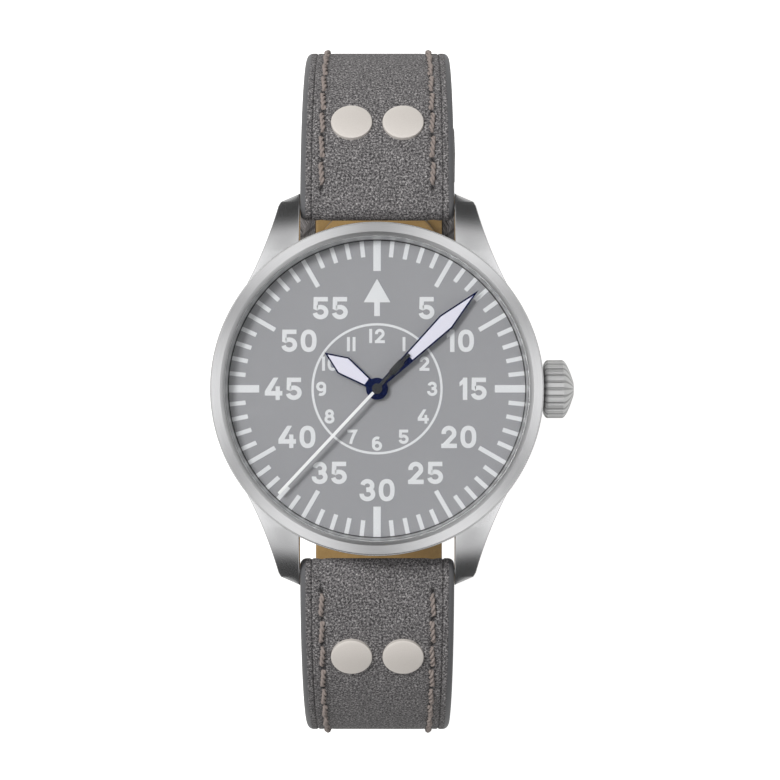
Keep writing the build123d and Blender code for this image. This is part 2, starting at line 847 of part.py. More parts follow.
def ratchet_wheel():
    toward = math.degrees(math.atan2(crown_wheel_place[1] - barrel_place[1],
                                     crown_wheel_place[0] - barrel_place[0]))
    return Pos(*barrel_place) * gear(ratchet_teeth, ratchet_pitch, winding_wheel_low,
                                     winding_wheel_thickness, toward, barrel_arbor_radius)


def crown_wheel():
    toward = math.degrees(math.atan2(barrel_place[1] - crown_wheel_place[1],
                                     barrel_place[0] - crown_wheel_place[0]))
    return Pos(*crown_wheel_place) * gear(crown_wheel_teeth, crown_wheel_pitch, winding_wheel_low,
                                          winding_wheel_thickness, toward + 180 / crown_wheel_teeth,
                                          crown_wheel_post_radius + running_clearance)


def stem_pinion(teeth, radius, start, length):
    """Small toothed wheel along X, bored for the stem."""
    face = tooth_outline(teeth, radius - addendum_share * 2 * radius / teeth, 90)
    face -= Circle(stem_diameter / 2 + running_clearance)
    solid = extrude(face, length)
    return Pos(start, 0, stem_height) * Rot(0, 90, 0) * solid


def sliding_pinion():
    return stem_pinion(winding_pinion_teeth, sliding_pinion_radius, sliding_pinion_start,
                       sliding_pinion_length)


def winding_pinion():
    return stem_pinion(winding_pinion_teeth, winding_pinion_radius, winding_pinion_start,
                       winding_pinion_length)


def cannon_pinion():
    """Pinion and pipe pressed on the centre arbor; the pipe carries the minute hand."""
    pinion = gear(cannon_leaves, cannon_pitch, motion_low, motion_step, motion_angle, centre_arbor_radius)
    pipe = ring(cannon_pipe_radius, centre_arbor_radius, motion_low, motion_low + 3 * motion_step)
    inner = slim_arbor_radius + running_clearance
    sleeve = ring(cannon_pipe_radius, inner, motion_low + 3 * motion_step,
                  minute_hand_low + hand_thickness)
    return pinion + pipe + sleeve


def minute_wheel():
    toward = motion_angle + 180
    bore = arbor_radius + running_clearance
    wheel = gear(minute_wheel_teeth, minute_wheel_pitch, motion_low, wheel_thickness,
                 toward + 180 / minute_wheel_teeth, bore)
    pinion = gear(minute_leaves, minute_pinion_pitch, motion_low + wheel_thickness,
                  2 * motion_step - wheel_thickness, toward, bore)
    return Pos(*motion_place) * (wheel + pinion)


def hour_wheel():
    """Wheel and pipe that carry the hour hand round the cannon pinion."""
    bore = cannon_pipe_radius + running_clearance
    low = motion_low + motion_step + seat_gap / 2
    wheel = gear(hour_wheel_teeth, hour_wheel_pitch, low, wheel_thickness,
                 motion_angle + 180 / hour_wheel_teeth, bore)
    pipe = ring(hour_pipe_radius, bore, low, hour_hand_low + hand_thickness)
    return wheel + pipe


def case_back():
    """Screwed back: plate, threaded ring and notches for the opening key."""
    radius = back_diameter / 2
    back = turned([
        (0, 0), (radius - bezel_chamfer, 0), (radius, bezel_chamfer), (radius, case_low),
        (thread_radius - running_clearance, case_low),
        (thread_radius - running_clearance, case_low + back_thread_height),
        (thread_radius - back_ring_width, case_low + back_thread_height),
        (thread_radius - back_ring_width, back_plate_thickness), (0, back_plate_thickness)])
    for index in range(back_notches):
        notch = block((radius - back_notch_depth, radius + cut_overrun),
                      (-back_notch_width / 2, back_notch_width / 2), (-cut_overrun, back_notch_height))
        back -= Rot(0, 0, index * 360 / back_notches) * notch
    return back


def case_back_gasket():
    outer = thread_radius + back_gasket_inset
    return ring(outer, outer - back_gasket_width, case_low, case_low + back_gasket_height)


def crown_tube():
    return rod(tube_diameter / 2, cavity_radius, crown_start + tube_stand_out, z=stem_height) - rod(
        tube_bore / 2, cavity_radius - cut_overrun, crown_start + cut_overrun, z=stem_height)


def crown():
    """Onion crown: a fluted cylinder that closes in a bowed cone."""
    radius = crown_diameter / 2
    belly = crown_chamfer + crown_cylinder_length
    cone_middle = ((radius + crown_tip_radius) / 2 + crown_bow, (belly + crown_length) / 2 + crown_bow)
    half = make_face([
        Line((0, 0), (radius - crown_chamfer, 0)),
        Line((radius - crown_chamfer, 0), (radius, crown_chamfer)),
        Line((radius, crown_chamfer), (radius, belly)),
        ThreePointArc((radius, belly), cone_middle, (crown_tip_radius, crown_length)),
        Line((crown_tip_radius, crown_length), (0, crown_length)),
        Line((0, crown_length), (0, 0))])
    onion = revolve(Plane.XZ * half, Axis.Z)
    cone_length = math.hypot(radius - crown_tip_radius, crown_length - belly)
    lean = math.degrees(math.atan2(radius - crown_tip_radius, crown_length - belly))
    align = (Align.CENTER, Align.CENTER, Align.MIN)
    straight = Pos(radius + crown_flute_radius / 2, 0, -crown_gap) * Cylinder(
        crown_flute_radius, belly + crown_gap, align=align)
    sloped = Pos(radius + crown_flute_radius / 2, 0, belly) * Rot(0, -lean, 0) * Cylinder(
        crown_flute_radius, cone_length + crown_bow, align=align)
    for index in range(crown_flutes):
        onion -= Rot(0, 0, index * 360 / crown_flutes) * (straight + sloped)
    recess = tube_diameter / 2 + 2 * running_clearance + crown_gasket_width
    onion -= disc(recess, -cut_overrun, crown_recess_depth)
    onion -= disc(stem_diameter / 2, 0, crown_recess_depth + crown_gap)
    return Pos(crown_start, 0, stem_height) * Rot(0, 90, 0) * onion


def crown_gasket():
    """Rubber ring in the crown that runs on the tube."""
    inner = tube_diameter / 2 + running_clearance
    outer = tube_diameter / 2 + 2 * running_clearance + crown_gasket_width
    start = crown_start + crown_chamfer / 2
    end = start + crown_gasket_width
    return rod(outer, start, end, z=stem_height) - rod(
        inner, start - cut_overrun, end + cut_overrun, z=stem_height)


def stem():
    """Stem from the sliding pinion to the crown, square where the pinion slides."""
    square_end = stem_start + stem_square_length
    square = block((stem_start, square_end), (-stem_square / 2, stem_square / 2),
                   (stem_height - stem_square / 2, stem_height + stem_square / 2))
    shaft = rod(stem_diameter / 2, square_end, crown_start + crown_recess_depth, z=stem_height)
    return square + shaft


def spring_bars():
    """Tube of each spring bar, bored at both ends for its tips."""
    bars = []
    for side in (-1, 1):
        place = {"y": side * bar_reach, "z": bar_height}
        half = bar_length / 2
        bar = rod(bar_radius, -half, half, **place)
        for end in (-1, 1):
            bottom = end * (half - bar_bore_length)
            lip = end * (half - bar_end_lip)
            low, high = sorted((bottom, lip))
            bar -= rod(bar_tip_collar + running_clearance, low, high, **place)
            low, high = sorted((lip - end * seat_gap, end * (half + cut_overrun)))
            bar -= rod(bar_tip_radius + running_clearance, low, high, **place)
        bars.append(bar)
    return Compound(children=bars)


def spring_bar_tip(side, end):
    """Sprung tip that stands out of the bar's tube into the lug."""
    half = bar_length / 2
    outer = lug_gap / 2 + bar_tip_out
    collar_end = half - bar_end_lip - seat_gap
    place = {"y": side * bar_reach, "z": bar_height}
    tip = rod(bar_tip_radius, collar_end, outer, **place)
    tip += rod(bar_tip_collar, collar_end - bar_end_lip, collar_end, **place)
    if end < 0:
        tip = mirror(tip, about=Plane.YZ)
    return tip


def station(moves, distance):
    """Place and heading on the strap's outer face, a distance along it from the spring bar.

    Moves are straights and arcs as (length, turn); a plus turn bends towards the wrist."""
    heading = -strap_fall_angle
    slope = math.radians(heading)
    y = bar_reach - strap_thickness / 2 * math.sin(slope)
    z = bar_height + strap_thickness / 2 * math.cos(slope)
    for length, turn in moves:
        step = min(distance, length)
        if turn:
            radius = length / math.radians(turn)
            before = math.radians(heading)
            heading -= turn * step / length
            after = math.radians(heading)
            y += radius * (math.sin(before) - math.sin(after))
            z += radius * (math.cos(after) - math.cos(before))
        else:
            y += step * math.cos(math.radians(heading))
            z += step * math.sin(math.radians(heading))
        distance -= step
        if distance <= 0:
            break
    return y, z, heading


def inside(moves, distance, depth):
    """Point at a depth under the strap's outer face."""
    y, z, heading = station(moves, distance)
    slope = math.radians(heading)
    return (y + depth * math.sin(slope), z - depth * math.cos(slope))


def band(moves, start, end, shallow, deep):
    """Face of a layer of the strap between two distances and two depths, in the YZ plane."""
    stops = [start]
    reached = 0
    for length, turn in moves:
        reached += length
        if start < reached < end:
            stops.append(reached)
    stops.append(end)
    edges = []
    for first, last in zip(stops, stops[1:]):
        for depth in (shallow, deep):
            points = [inside(moves, first, depth), inside(moves, (first + last) / 2, depth),
                      inside(moves, last, depth)]
            same = station(moves, first + seat_gap)[2] - station(moves, last - seat_gap)[2]
            if same:
                edges.append(ThreePointArc(*points))
            else:
                edges.append(Line(points[0], points[2]))
    for distance in (start, end):
        edges.append(Line(inside(moves, distance, shallow), inside(moves, distance, deep)))
    return make_face(edges)


def spread(face, width):
    """Face in the YZ plane made a solid of a width, centred on X."""
    return extrude(Plane.YZ * face, width / 2, both=True)


bend_turn = 180 - strap_fall_angle
bend_length = strap_radius * math.radians(bend_turn)
rise_length = strap_radius * math.radians(strap_rise_angle)
tail_radius = strap_radius - strap_thickness - tail_gap
short_moves = [(bend_length, bend_turn), (strap_short_straight, 0)]
long_start = [(bend_length + rise_length, bend_turn + strap_rise_angle), (strap_rise_length, 0),
              (rise_length, -strap_rise_angle), (strap_flat_length, 0)]
long_moves = long_start + [(strap_tail_length, math.degrees(strap_tail_length / tail_radius))]
short_end = bend_length + strap_short_straight
long_end = sum(length for length, turn in long_moves)
buckle_place = inside(short_moves, short_end, strap_thickness / 2)
bend_centre = inside(short_moves, 0, strap_radius)


def strap_taper():
    """Block whose sides lean in from the lugs down to the buckle."""
    top = strap_width_at_lugs / 2
    bottom = strap_width_at_buckle / 2
    low = inside(short_moves, bend_length, 0)[1]
    high = bar_height + strap_thickness / 2
    lean = (top - bottom) / (high - low)
    face = make_face(Polyline(
        (top + lean * cut_overrun, high + cut_overrun), (bottom - lean * cut_overrun, low - cut_overrun),
        (-bottom + lean * cut_overrun, low - cut_overrun), (-top - lean * cut_overrun, high + cut_overrun),
        close=True))
    return extrude(Plane.XZ * face, 2 * strap_radius + bar_reach, both=True)


def strap_frame(moves, distance):
    """Plane on the strap's outer face, with its normal pointing away from the wrist."""
    y, z, heading = station(moves, distance)
    slope = math.radians(heading)
    return Plane(origin=(0, y, z), x_dir=(1, 0, 0), z_dir=(0, -math.sin(slope), math.cos(slope)))


def rivet_frames(moves):
    """Seat of each of the two rivets on a strap half."""
    return [strap_frame(moves, rivet_distance) * Pos(side * rivet_spacing / 2, 0, 0) for side in (-1, 1)]


def punched(solid):
    """Strap piece with the row of buckle holes."""
    for index in range(punch_count):
        frame = strap_frame(long_moves, long_end - punch_from_end - index * punch_pitch)
        solid -= frame * Cylinder(punch_diameter / 2, 2 * strap_thickness + cut_overrun)
    return solid


def with_round_tip(solid):
    """Long half's end cut to a half circle in plan."""
    radius = strap_width_at_buckle / 2
    frame = strap_frame(long_moves, long_end - radius)
    reach = radius + cut_overrun
    corner = Pos(0, reach / 2, 0) * Box(2 * reach, reach, 4 * strap_thickness)
    corner -= Cylinder(radius, 4 * strap_thickness + cut_overrun)
    return solid - frame * corner


def finished(solid, moves, depth):
    """Strap layer with its taper, rivet holes and the openings of its half."""
    solid &= strap_taper()
    for frame in rivet_frames(moves):
        solid -= frame * Cylinder(rivet_shank_diameter / 2, 4 * strap_thickness)
        solid -= frame * Pos(0, 0, -strap_thickness) * Cylinder(
            rivet_washer_diameter / 2 + seat_gap / 2, cut_overrun,
            align=(Align.CENTER, Align.CENTER, Align.MAX))
        if depth == 0:
            solid -= frame * Pos(0, 0, -rivet_seat_depth) * Cylinder(
                rivet_head_diameter / 2 + seat_gap / 2, cut_overrun,
                align=(Align.CENTER, Align.CENTER, Align.MIN))
    if moves is long_moves:
        return mirror(with_round_tip(punched(solid)), about=Plane.XZ)
    y, z = buckle_place
    slot = block((-tongue_slot_width / 2, tongue_slot_width / 2),
                 (y - cut_overrun, y + tongue_eye_radius + 2 * seat_gap),
                 (z - strap_thickness, z + strap_thickness))
    return solid - slot


def strap_leather(moves, end):
    """Upper leather, turned round the bar at each end where the half is held."""
    face = band(moves, 0, end, 0, leather_thickness)
    face += Pos(bar_reach, bar_height) * Circle(strap_thickness / 2)
    face -= Pos(bar_reach, bar_height) * Circle(bar_radius + seat_gap)
    if moves is short_moves:
        face += Pos(*buckle_place) * Circle(strap_thickness / 2)
        face -= Pos(*buckle_place) * Circle(buckle_bar_radius + seat_gap)
    return finished(spread(face, strap_width_at_lugs + cut_overrun), moves, 0)


def strap_layer(moves, end, shallow, deep):
    face = band(moves, fold_length, end, shallow, deep)
    return finished(spread(face, strap_width_at_lugs + cut_overrun), moves, shallow)


def strap_filler(moves, end):
    return strap_layer(moves, end, leather_thickness, leather_thickness + filler_thickness)


def strap_lining(moves, end):
    return strap_layer(moves, end, leather_thickness + filler_thickness, strap_thickness)


def stitching(moves, end, flip):
    """Two rows of stitches that lie on the upper leather."""
    low = inside(short_moves, bend_length, 0)[1]
    high = bar_height + strap_thickness / 2
    stitches = []
    count = int((end - stitch_first - stitch_end_margin) / stitch_pitch)
    for index in range(count):
        distance = stitch_first + (index + 1 / 2) * stitch_pitch
        level = station(moves, distance)[1]
        share = (high - level) / (high - low)
        half_width = (strap_width_at_lugs + (strap_width_at_buckle - strap_width_at_lugs) * share) / 2
        for side in (-1, 1):
            place = Pos(side * (half_width - stitch_inset), 0, stitch_lift)
            stitch = strap_frame(moves, distance) * place * Box(
                stitch_width, stitch_length, stitch_height, align=(Align.CENTER, Align.CENTER, Align.MIN))
            stitches.append(mirror(stitch, about=Plane.XZ) if flip else stitch)
    return Compound(children=stitches)


def rivets(moves, flip):
    """Two round-headed rivets through the strap, each closed on a washer."""
    pair = []
    head_radius = rivet_head_diameter / 2
    for frame in rivet_frames(moves):
        half = make_face([
            Line((0, -rivet_seat_depth), (head_radius, -rivet_seat_depth)),
            Line((head_radius, -rivet_seat_depth), (head_radius, rivet_edge_height)),
            TangentArc((0, rivet_head_height), (head_radius, rivet_edge_height), tangent=(1, 0)),
            Line((0, rivet_head_height), (0, -rivet_seat_depth))])
        rivet = revolve(Plane.XZ * half, Axis.Z)
        rivet += disc(rivet_shank_diameter / 2, -strap_thickness, -rivet_seat_depth)
        rivet += disc(rivet_washer_diameter / 2, -strap_thickness - rivet_washer_height, -strap_thickness)
        placed = frame * rivet
        pair.append(mirror(placed, about=Plane.XZ) if flip else placed)
    return Compound(children=pair)


def buckle_bar():
    half = buckle_inner_width / 2 + buckle_side_width - seat_gap
    return rod(buckle_bar_radius, -half, half, *buckle_place)


def buckle_frame():
    """Open frame whose arms turn on the buckle bar, notched for the tongue."""
    y, z = buckle_place
    outer_width = buckle_inner_width + 2 * buckle_side_width
    outer_length = buckle_length
    middle = y + buckle_end_reach - outer_length / 2
    plan = Pos(0, middle) * RectangleRounded(outer_width, outer_length, buckle_corner * 2 / 3)
    front = y + buckle_end_reach - outer_length
    opening_length = outer_length - buckle_front_width + cut_overrun
    plan -= Pos(0, front + buckle_front_width + opening_length / 2) * RectangleRounded(
        buckle_inner_width, opening_length, buckle_corner / 3)
    plan -= Pos(0, y + buckle_end_reach) * Rectangle(buckle_inner_width, 2 * buckle_corner)
    frame = raised(plan, z - buckle_thickness / 2, buckle_thickness)
    half = buckle_inner_width / 2 + buckle_side_width
    frame -= rod(buckle_bar_radius + running_clearance, -half + seat_gap / 2, half - seat_gap / 2, y, z)
    notch_half = tongue_width / 2 + seat_gap
    notch_high = z - tongue_drop + tongue_thickness / 2 + seat_gap
    frame -= block((-notch_half, notch_half), (front - cut_overrun, front + buckle_front_width + cut_overrun),
                   (z - buckle_thickness, notch_high))
    return frame


def buckle_tongue():
    """Pin that lies in the frame's notch and turns on the buckle bar by its eye."""
    y, z = buckle_place
    front = y + buckle_end_reach - buckle_length - tongue_overhang
    middle = z - tongue_drop
    tongue = block((-tongue_width / 2, tongue_width / 2), (front, y),
                   (middle - tongue_thickness / 2, middle + tongue_thickness / 2))
    tongue += rod(tongue_eye_radius, -tongue_width / 2, tongue_width / 2, y, z)
    return tongue - rod(buckle_bar_radius + running_clearance, -tongue_width, tongue_width, y, z)


def fixed_keeper():
    """Leather loop stitched to both edges of the strap, open for the tail."""
    end = bend_length - fixed_keeper_place
    start = end - keeper_width
    inner = strap_width_at_buckle + 2 * keeper_side_gap
    outside = spread(band(short_moves, start, end, -keeper_room - keeper_wall, strap_thickness / 2),
                     inner + 2 * fixed_keeper_side)
    room = spread(band(short_moves, start - seat_gap, end + seat_gap / 2, -keeper_room, strap_thickness), inner)
    return outside - room


def free_keeper():
    """Leather loop that slides round the strap."""
    end = bend_length - fixed_keeper_place - keeper_width - free_keeper_gap
    start = end - keeper_width
    inner = free_keeper_room_width
    deep = strap_thickness + keeper_clearance
    outside = spread(band(short_moves, start, end, -keeper_room - keeper_wall, deep + keeper_wall),
                     inner + 2 * keeper_wall)
    room = spread(band(short_moves, start - seat_gap, end + seat_gap, -keeper_room, deep), inner)
    return outside - room


pieces = {
    "case_body": case_body, "bezel": bezel, "crystal": crystal, "crystal_gasket": crystal_gasket,
    "flange_ring": flange_ring, "dial": dial, "dial_markings": dial_markings,
    "movement_holder": movement_holder, "case_back": case_back, "case_back_gasket": case_back_gasket,
    "crown_tube": crown_tube, "main_plate": main_plate, "train_bridge": train_bridge,
    "balance_bridge": balance_bridge, "movement_screws": movement_screws, "spring_bars": spring_bars,
    "hour_hand": hour_hand, "hour_hand_lume": hour_hand_lume, "hour_wheel": hour_wheel,
    "minute_hand": minute_hand, "minute_hand_lume": minute_hand_lume, "cannon_pinion": cannon_pinion,
    "centre_wheel": centre_wheel, "second_hand": second_hand, "fourth_wheel": fourth_wheel,
    "minute_wheel": minute_wheel, "third_wheel": third_wheel, "escape_wheel": escape_wheel,
    "pallet_fork": pallet_fork, "balance_wheel": balance_wheel, "hairspring": hairspring,
    "barrel": barrel, "mainspring": mainspring, "barrel_arbor": barrel_arbor,
    "ratchet_wheel": ratchet_wheel, "crown_wheel": crown_wheel, "sliding_pinion": sliding_pinion,
    "winding_pinion": winding_pinion, "crown": crown, "stem": stem, "crown_gasket": crown_gasket,
    "buckle_bar": buckle_bar, "buckle_frame": buckle_frame, "buckle_tongue": buckle_tongue,
    "fixed_keeper": fixed_keeper, "free_keeper": free_keeper,
    "strap_12_leather": lambda: strap_leather(short_moves, short_end),
    "strap_12_filler": lambda: strap_filler(short_moves, short_end - fold_length),
    "strap_12_lining": lambda: strap_lining(short_moves, short_end - fold_length),
    "strap_12_stitching": lambda: stitching(short_moves, short_end, False),
    "strap_12_rivets": lambda: rivets(short_moves, False),
    "strap_6_leather": lambda: strap_leather(long_moves, long_end),
    "strap_6_filler": lambda: strap_filler(long_moves, long_end),
    "strap_6_lining": lambda: strap_lining(long_moves, long_end),
    "strap_6_stitching": lambda: stitching(long_moves, long_end - strap_width_at_buckle / 2, True),
    "strap_6_rivets": lambda: rivets(long_moves, True),
}
for side, hour in ((1, "12"), (-1, "6")):
    for end, hand in ((-1, "left"), (1, "right")):
        pieces[f"spring_bar_tip_{hour}_{hand}"] = lambda side=side, end=end: spring_bar_tip(side, end)

os.makedirs("parts", exist_ok=True)
for name, make in pieces.items():
    export_step(make(), f"parts/{name}.step")
print("buckle bar", buckle_place, "bend centre", bend_centre, "tail end", station(long_moves, long_end))
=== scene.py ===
import math

import bmesh
import bpy
import numpy as np
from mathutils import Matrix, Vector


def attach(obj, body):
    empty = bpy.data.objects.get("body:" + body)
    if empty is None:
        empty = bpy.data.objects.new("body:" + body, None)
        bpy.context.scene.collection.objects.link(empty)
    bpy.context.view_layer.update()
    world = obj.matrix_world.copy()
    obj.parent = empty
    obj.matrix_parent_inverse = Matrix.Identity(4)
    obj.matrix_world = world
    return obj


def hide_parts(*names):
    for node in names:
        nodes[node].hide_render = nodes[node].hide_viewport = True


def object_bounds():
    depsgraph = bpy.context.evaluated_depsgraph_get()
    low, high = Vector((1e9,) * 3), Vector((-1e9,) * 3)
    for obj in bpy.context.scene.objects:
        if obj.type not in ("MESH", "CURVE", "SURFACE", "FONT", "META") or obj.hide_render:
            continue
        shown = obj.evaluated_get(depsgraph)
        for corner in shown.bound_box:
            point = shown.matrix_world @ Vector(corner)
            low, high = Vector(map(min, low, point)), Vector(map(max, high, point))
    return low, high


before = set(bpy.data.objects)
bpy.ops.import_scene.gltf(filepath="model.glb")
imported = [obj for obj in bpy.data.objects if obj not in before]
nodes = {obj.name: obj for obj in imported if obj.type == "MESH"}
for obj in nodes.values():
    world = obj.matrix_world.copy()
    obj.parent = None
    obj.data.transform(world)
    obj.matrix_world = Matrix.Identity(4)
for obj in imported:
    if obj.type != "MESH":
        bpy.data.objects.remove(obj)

cad_low, cad_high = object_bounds()
mm = 0.001


# The studio: a pale floor under the closed strap, one soft lamp from the upper left, and the
# camera nearly above the dial. Only mirrored rays see the tent of six bright panels, with dark
# gaps between them and dark flags at both ends. All other light from it is even.
camera_place = (2.0 * mm, -5.0 * mm, 388 * mm)
camera_lens = 137.7
camera_shift = (-0.0035, 0.04875)
floor_gap = 0.05 * mm
floor_size = 4.0
floor_colour = "#d8d8d6"
floor_glow, floor_mirrored_glow = 0.90, 0.25
tent_soft_light, tent_top_light, tent_side_light, tent_below_light = 0.43, 0.42, 0.70, 0.60
panel_light, panel_pairs, panel_falloff = 1.50, 3.0, 0.8
top_band, side_band, horizon_band = (0.985, 0.9995), (0.46, 0.76), (-0.05, 0.05)
end_flag_share, end_band = 0.06, (0.80, 0.93)
key_place, key_size, key_power = (-0.34, 0.22, 0.62), 0.22, 3.7


def linear(hex_text):
    """Linear RGBA of an sRGB hex colour: each channel is undone by the sRGB curve."""
    channels = [int(hex_text[i:i + 2], 16) / 255 for i in (1, 3, 5)]
    return tuple(c / 12.92 if c <= 0.04045 else ((c + 0.055) / 1.055) ** 2.4
                 for c in channels) + (1.0,)


def add_node(tree, kind, inputs=None, **settings):
    """Adds a node with its settings. Inputs map a socket to a value or to what feeds it: a
    socket, or a node for its first output."""
    node = tree.nodes.new(kind)
    for name, value in settings.items():
        setattr(node, name, value)
    for socket, value in (inputs or {}).items():
        if isinstance(value, bpy.types.Node):
            value = value.outputs[0]
        if isinstance(value, bpy.types.NodeSocket):
            tree.links.new(value, node.inputs[socket])
        else:
            node.inputs[socket].default_value = value
    return node


def plain_material(name):
    """Material with only its output node, and its node tree."""
    made = bpy.data.materials.new(name)
    made.use_nodes = True
    made.node_tree.nodes.clear()
    return made, made.node_tree


def show(tree, shader):
    """Joins a shader to the material's output."""
    add_node(tree, "ShaderNodeOutputMaterial", {"Surface": shader})


scene = bpy.context.scene
scene.view_settings.view_transform = "Standard"
camera_data = bpy.data.cameras.new("dial_camera")
camera_data.lens = camera_lens
camera_data.shift_x, camera_data.shift_y = camera_shift
camera_data.clip_start, camera_data.clip_end = 0.01, 10.0
camera = bpy.data.objects.new("dial_camera", camera_data)
camera.location = camera_place
scene.collection.objects.link(camera)
scene.camera = camera

lamp_data = bpy.data.lights.new("key_softbox", "AREA")
lamp_data.shape = "DISK"
lamp_data.size = key_size
lamp_data.energy = key_power
lamp = bpy.data.objects.new("key_softbox", lamp_data)
lamp.location = key_place
lamp.rotation_euler = (-lamp.location).to_track_quat("-Z", "Y").to_euler()
lamp.visible_glossy = False
scene.collection.objects.link(lamp)

world = bpy.data.worlds.new("studio_tent")
scene.world = world
world.use_nodes = True
tree = world.node_tree
tree.nodes.clear()
ray = add_node(tree, "ShaderNodeLightPath")
way = add_node(tree, "ShaderNodeSeparateXYZ", {
    0: add_node(tree, "ShaderNodeTexCoord").outputs["Generated"]})
bearing = add_node(tree, "ShaderNodeMath", {0: way.outputs["Y"], 1: way.outputs["X"]},
                   operation="ARCTAN2")
spoke = add_node(tree, "ShaderNodeMath", {0: bearing, 1: panel_pairs},
                 operation="MULTIPLY")
for operation in ("COSINE", "ABSOLUTE"):
    spoke = add_node(tree, "ShaderNodeMath", {0: spoke}, operation=operation)
spoke = add_node(tree, "ShaderNodeMath", {0: spoke, 1: panel_falloff},
                 operation="POWER")
panels = add_node(tree, "ShaderNodeMapRange", {"Value": spoke, "To Max": panel_light})
rise, fall = [add_node(tree, "ShaderNodeMapRange", {
    "Value": way.outputs["Z"], "From Min": band[0], "From Max": band[1], "To Min": 1.0,
    "To Max": 0.0}, interpolation_type="SMOOTHSTEP") for band in (top_band, side_band)]
upper_tent = add_node(tree, "ShaderNodeMix", {
    0: rise, 2: tent_top_light, 3: panels}, data_type="FLOAT")
upper_tent = add_node(tree, "ShaderNodeMix", {
    0: fall, 2: upper_tent, 3: tent_side_light}, data_type="FLOAT")
endways = add_node(tree, "ShaderNodeMath", {0: way.outputs["Y"]}, operation="ABSOLUTE")
flag = add_node(tree, "ShaderNodeMapRange", {
    "Value": endways, "From Min": end_band[0], "From Max": end_band[1],
    "To Min": 1.0, "To Max": end_flag_share}, interpolation_type="SMOOTHSTEP")
above = add_node(tree, "ShaderNodeMath", {0: upper_tent, 1: flag},
                 operation="MULTIPLY")
below = add_node(tree, "ShaderNodeMapRange", {
    "Value": way.outputs["Z"], "From Min": horizon_band[0], "From Max": horizon_band[1],
    "To Min": 1.0, "To Max": 0.0})
tent = add_node(tree, "ShaderNodeMix", {
    0: below, 2: above, 3: tent_below_light}, data_type="FLOAT")
mirrored = add_node(tree, "ShaderNodeMix", {
    0: ray.outputs["Is Glossy Ray"], 2: tent_soft_light, 3: tent}, data_type="FLOAT")
seen = add_node(tree, "ShaderNodeMix", {
    0: ray.outputs["Is Camera Ray"], 2: mirrored, 3: 1.0}, data_type="FLOAT")
air = add_node(tree, "ShaderNodeBackground", {
    "Color": linear("#ffffff"), "Strength": seen})
add_node(tree, "ShaderNodeOutputWorld", {"Surface": air})

floor_material, tree = plain_material("white_paper_sweep")
ray = add_node(tree, "ShaderNodeLightPath")
paper = add_node(tree, "ShaderNodeBsdfDiffuse", {"Color": linear(floor_colour)})
seen = add_node(tree, "ShaderNodeMath", {
    0: ray.outputs["Is Camera Ray"], 1: ray.outputs["Is Transmission Ray"]}, operation="MAXIMUM")
seen = add_node(tree, "ShaderNodeMath", {0: seen, 1: floor_glow}, operation="MULTIPLY")
mirrored = add_node(tree, "ShaderNodeMath", {
    0: ray.outputs["Is Glossy Ray"], 1: floor_mirrored_glow}, operation="MULTIPLY")
lift = add_node(tree, "ShaderNodeMath", {0: seen, 1: mirrored},
                operation="MAXIMUM")
glow = add_node(tree, "ShaderNodeEmission", {"Strength": lift})
show(tree, add_node(tree, "ShaderNodeAddShader", {0: paper, 1: glow}))
floor_mesh = bpy.data.meshes.new("floor")
reach, level = floor_size / 2, cad_low.z - floor_gap
floor_mesh.from_pydata([(-reach, -reach, level), (reach, -reach, level), (reach, reach, level),
                        (-reach, reach, level)], [], [(0, 1, 2, 3)])
floor = bpy.data.objects.new("floor", floor_mesh)
floor_mesh.materials.append(floor_material)
scene.collection.objects.link(floor)


# The case: a steel middle with four lugs, milled and then brushed along the watch, with
# its edges broken by hand. The middle is turned, and each lug falls in an arch to its tip.
case_radius, case_low, case_high, case_round = 21.3, 0.7, 8.4, 0.4
case_bores = [(19.5, 8.4), (19.5, 7.1), (18.4, 7.1), (18.4, 2.3), (17.3, 2.3), (17.3, 0.7)]
lug_inner, lug_start, lug_reach = 10.0, 11.0, 25.3
lug_plan = [(12.45, 0.0), (17.0, 12.6), (14.475, 18.1), (12.75, 23.6), (12.45, 24.17),
            (10.0, 25.3)]
lug_top, lug_tip_level, lug_under, lug_under_reach, lug_heel = 8.2, 2.6, 0.9, 20.3, 24.3
lug_edge, lug_edge_points = 0.14, 5
lug_hidden, lug_hidden_radius = 11.9, 20.3
turn_steps = 256
steel_colour, steel_roughness = "#dadadb", 0.24


def piece_from(name, points, faces, material, body, crease_angle=35, flip=False):
    """Mesh object from arrays of points in millimetres and of faces, with the points that fall
    on one another at a pole merged."""
    mesh = bpy.data.meshes.new(name)
    if flip:
        faces = faces[:, ::-1]
    mesh.vertices.add(len(points))
    mesh.vertices.foreach_set("co", (np.asarray(points) * mm).astype(np.float32).ravel())
    count, corners = faces.shape
    mesh.loops.add(count * corners)
    mesh.loops.foreach_set("vertex_index", faces.astype(np.int32).ravel())
    mesh.polygons.add(count)
    mesh.polygons.foreach_set("loop_start",
                              np.arange(0, count * corners, corners, dtype=np.int32))
    mesh.update(calc_edges=True)
    solid = bmesh.new()
    solid.from_mesh(mesh)
    bmesh.ops.remove_doubles(solid, verts=solid.verts, dist=0.0005 * mm)
    solid.to_mesh(mesh)
    solid.free()
    return finish_piece(name, mesh, material, body, crease_angle)


def finish_piece(name, mesh, material, body, crease_angle=35):
    """Object of a mesh, smooth but for its sharp edges, on its body and in its material slot."""
    mesh.update(calc_edges=True)
    mesh.validate()
    soft = bpy.data.objects.new(name, mesh)
    scene.collection.objects.link(soft)
    mesh.shade_smooth()
    mesh.set_sharp_from_angle(angle=math.radians(crease_angle))
    mesh.materials.clear()
    mesh.materials.append(material)
    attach(soft, body)
    return soft


def face_outwards(mesh):
    """Turns every face of a closed mesh outwards."""
    solid = bmesh.new()
    solid.from_mesh(mesh)
    bmesh.ops.recalc_face_normals(solid, faces=solid.faces)
    solid.to_mesh(mesh)
    solid.free()


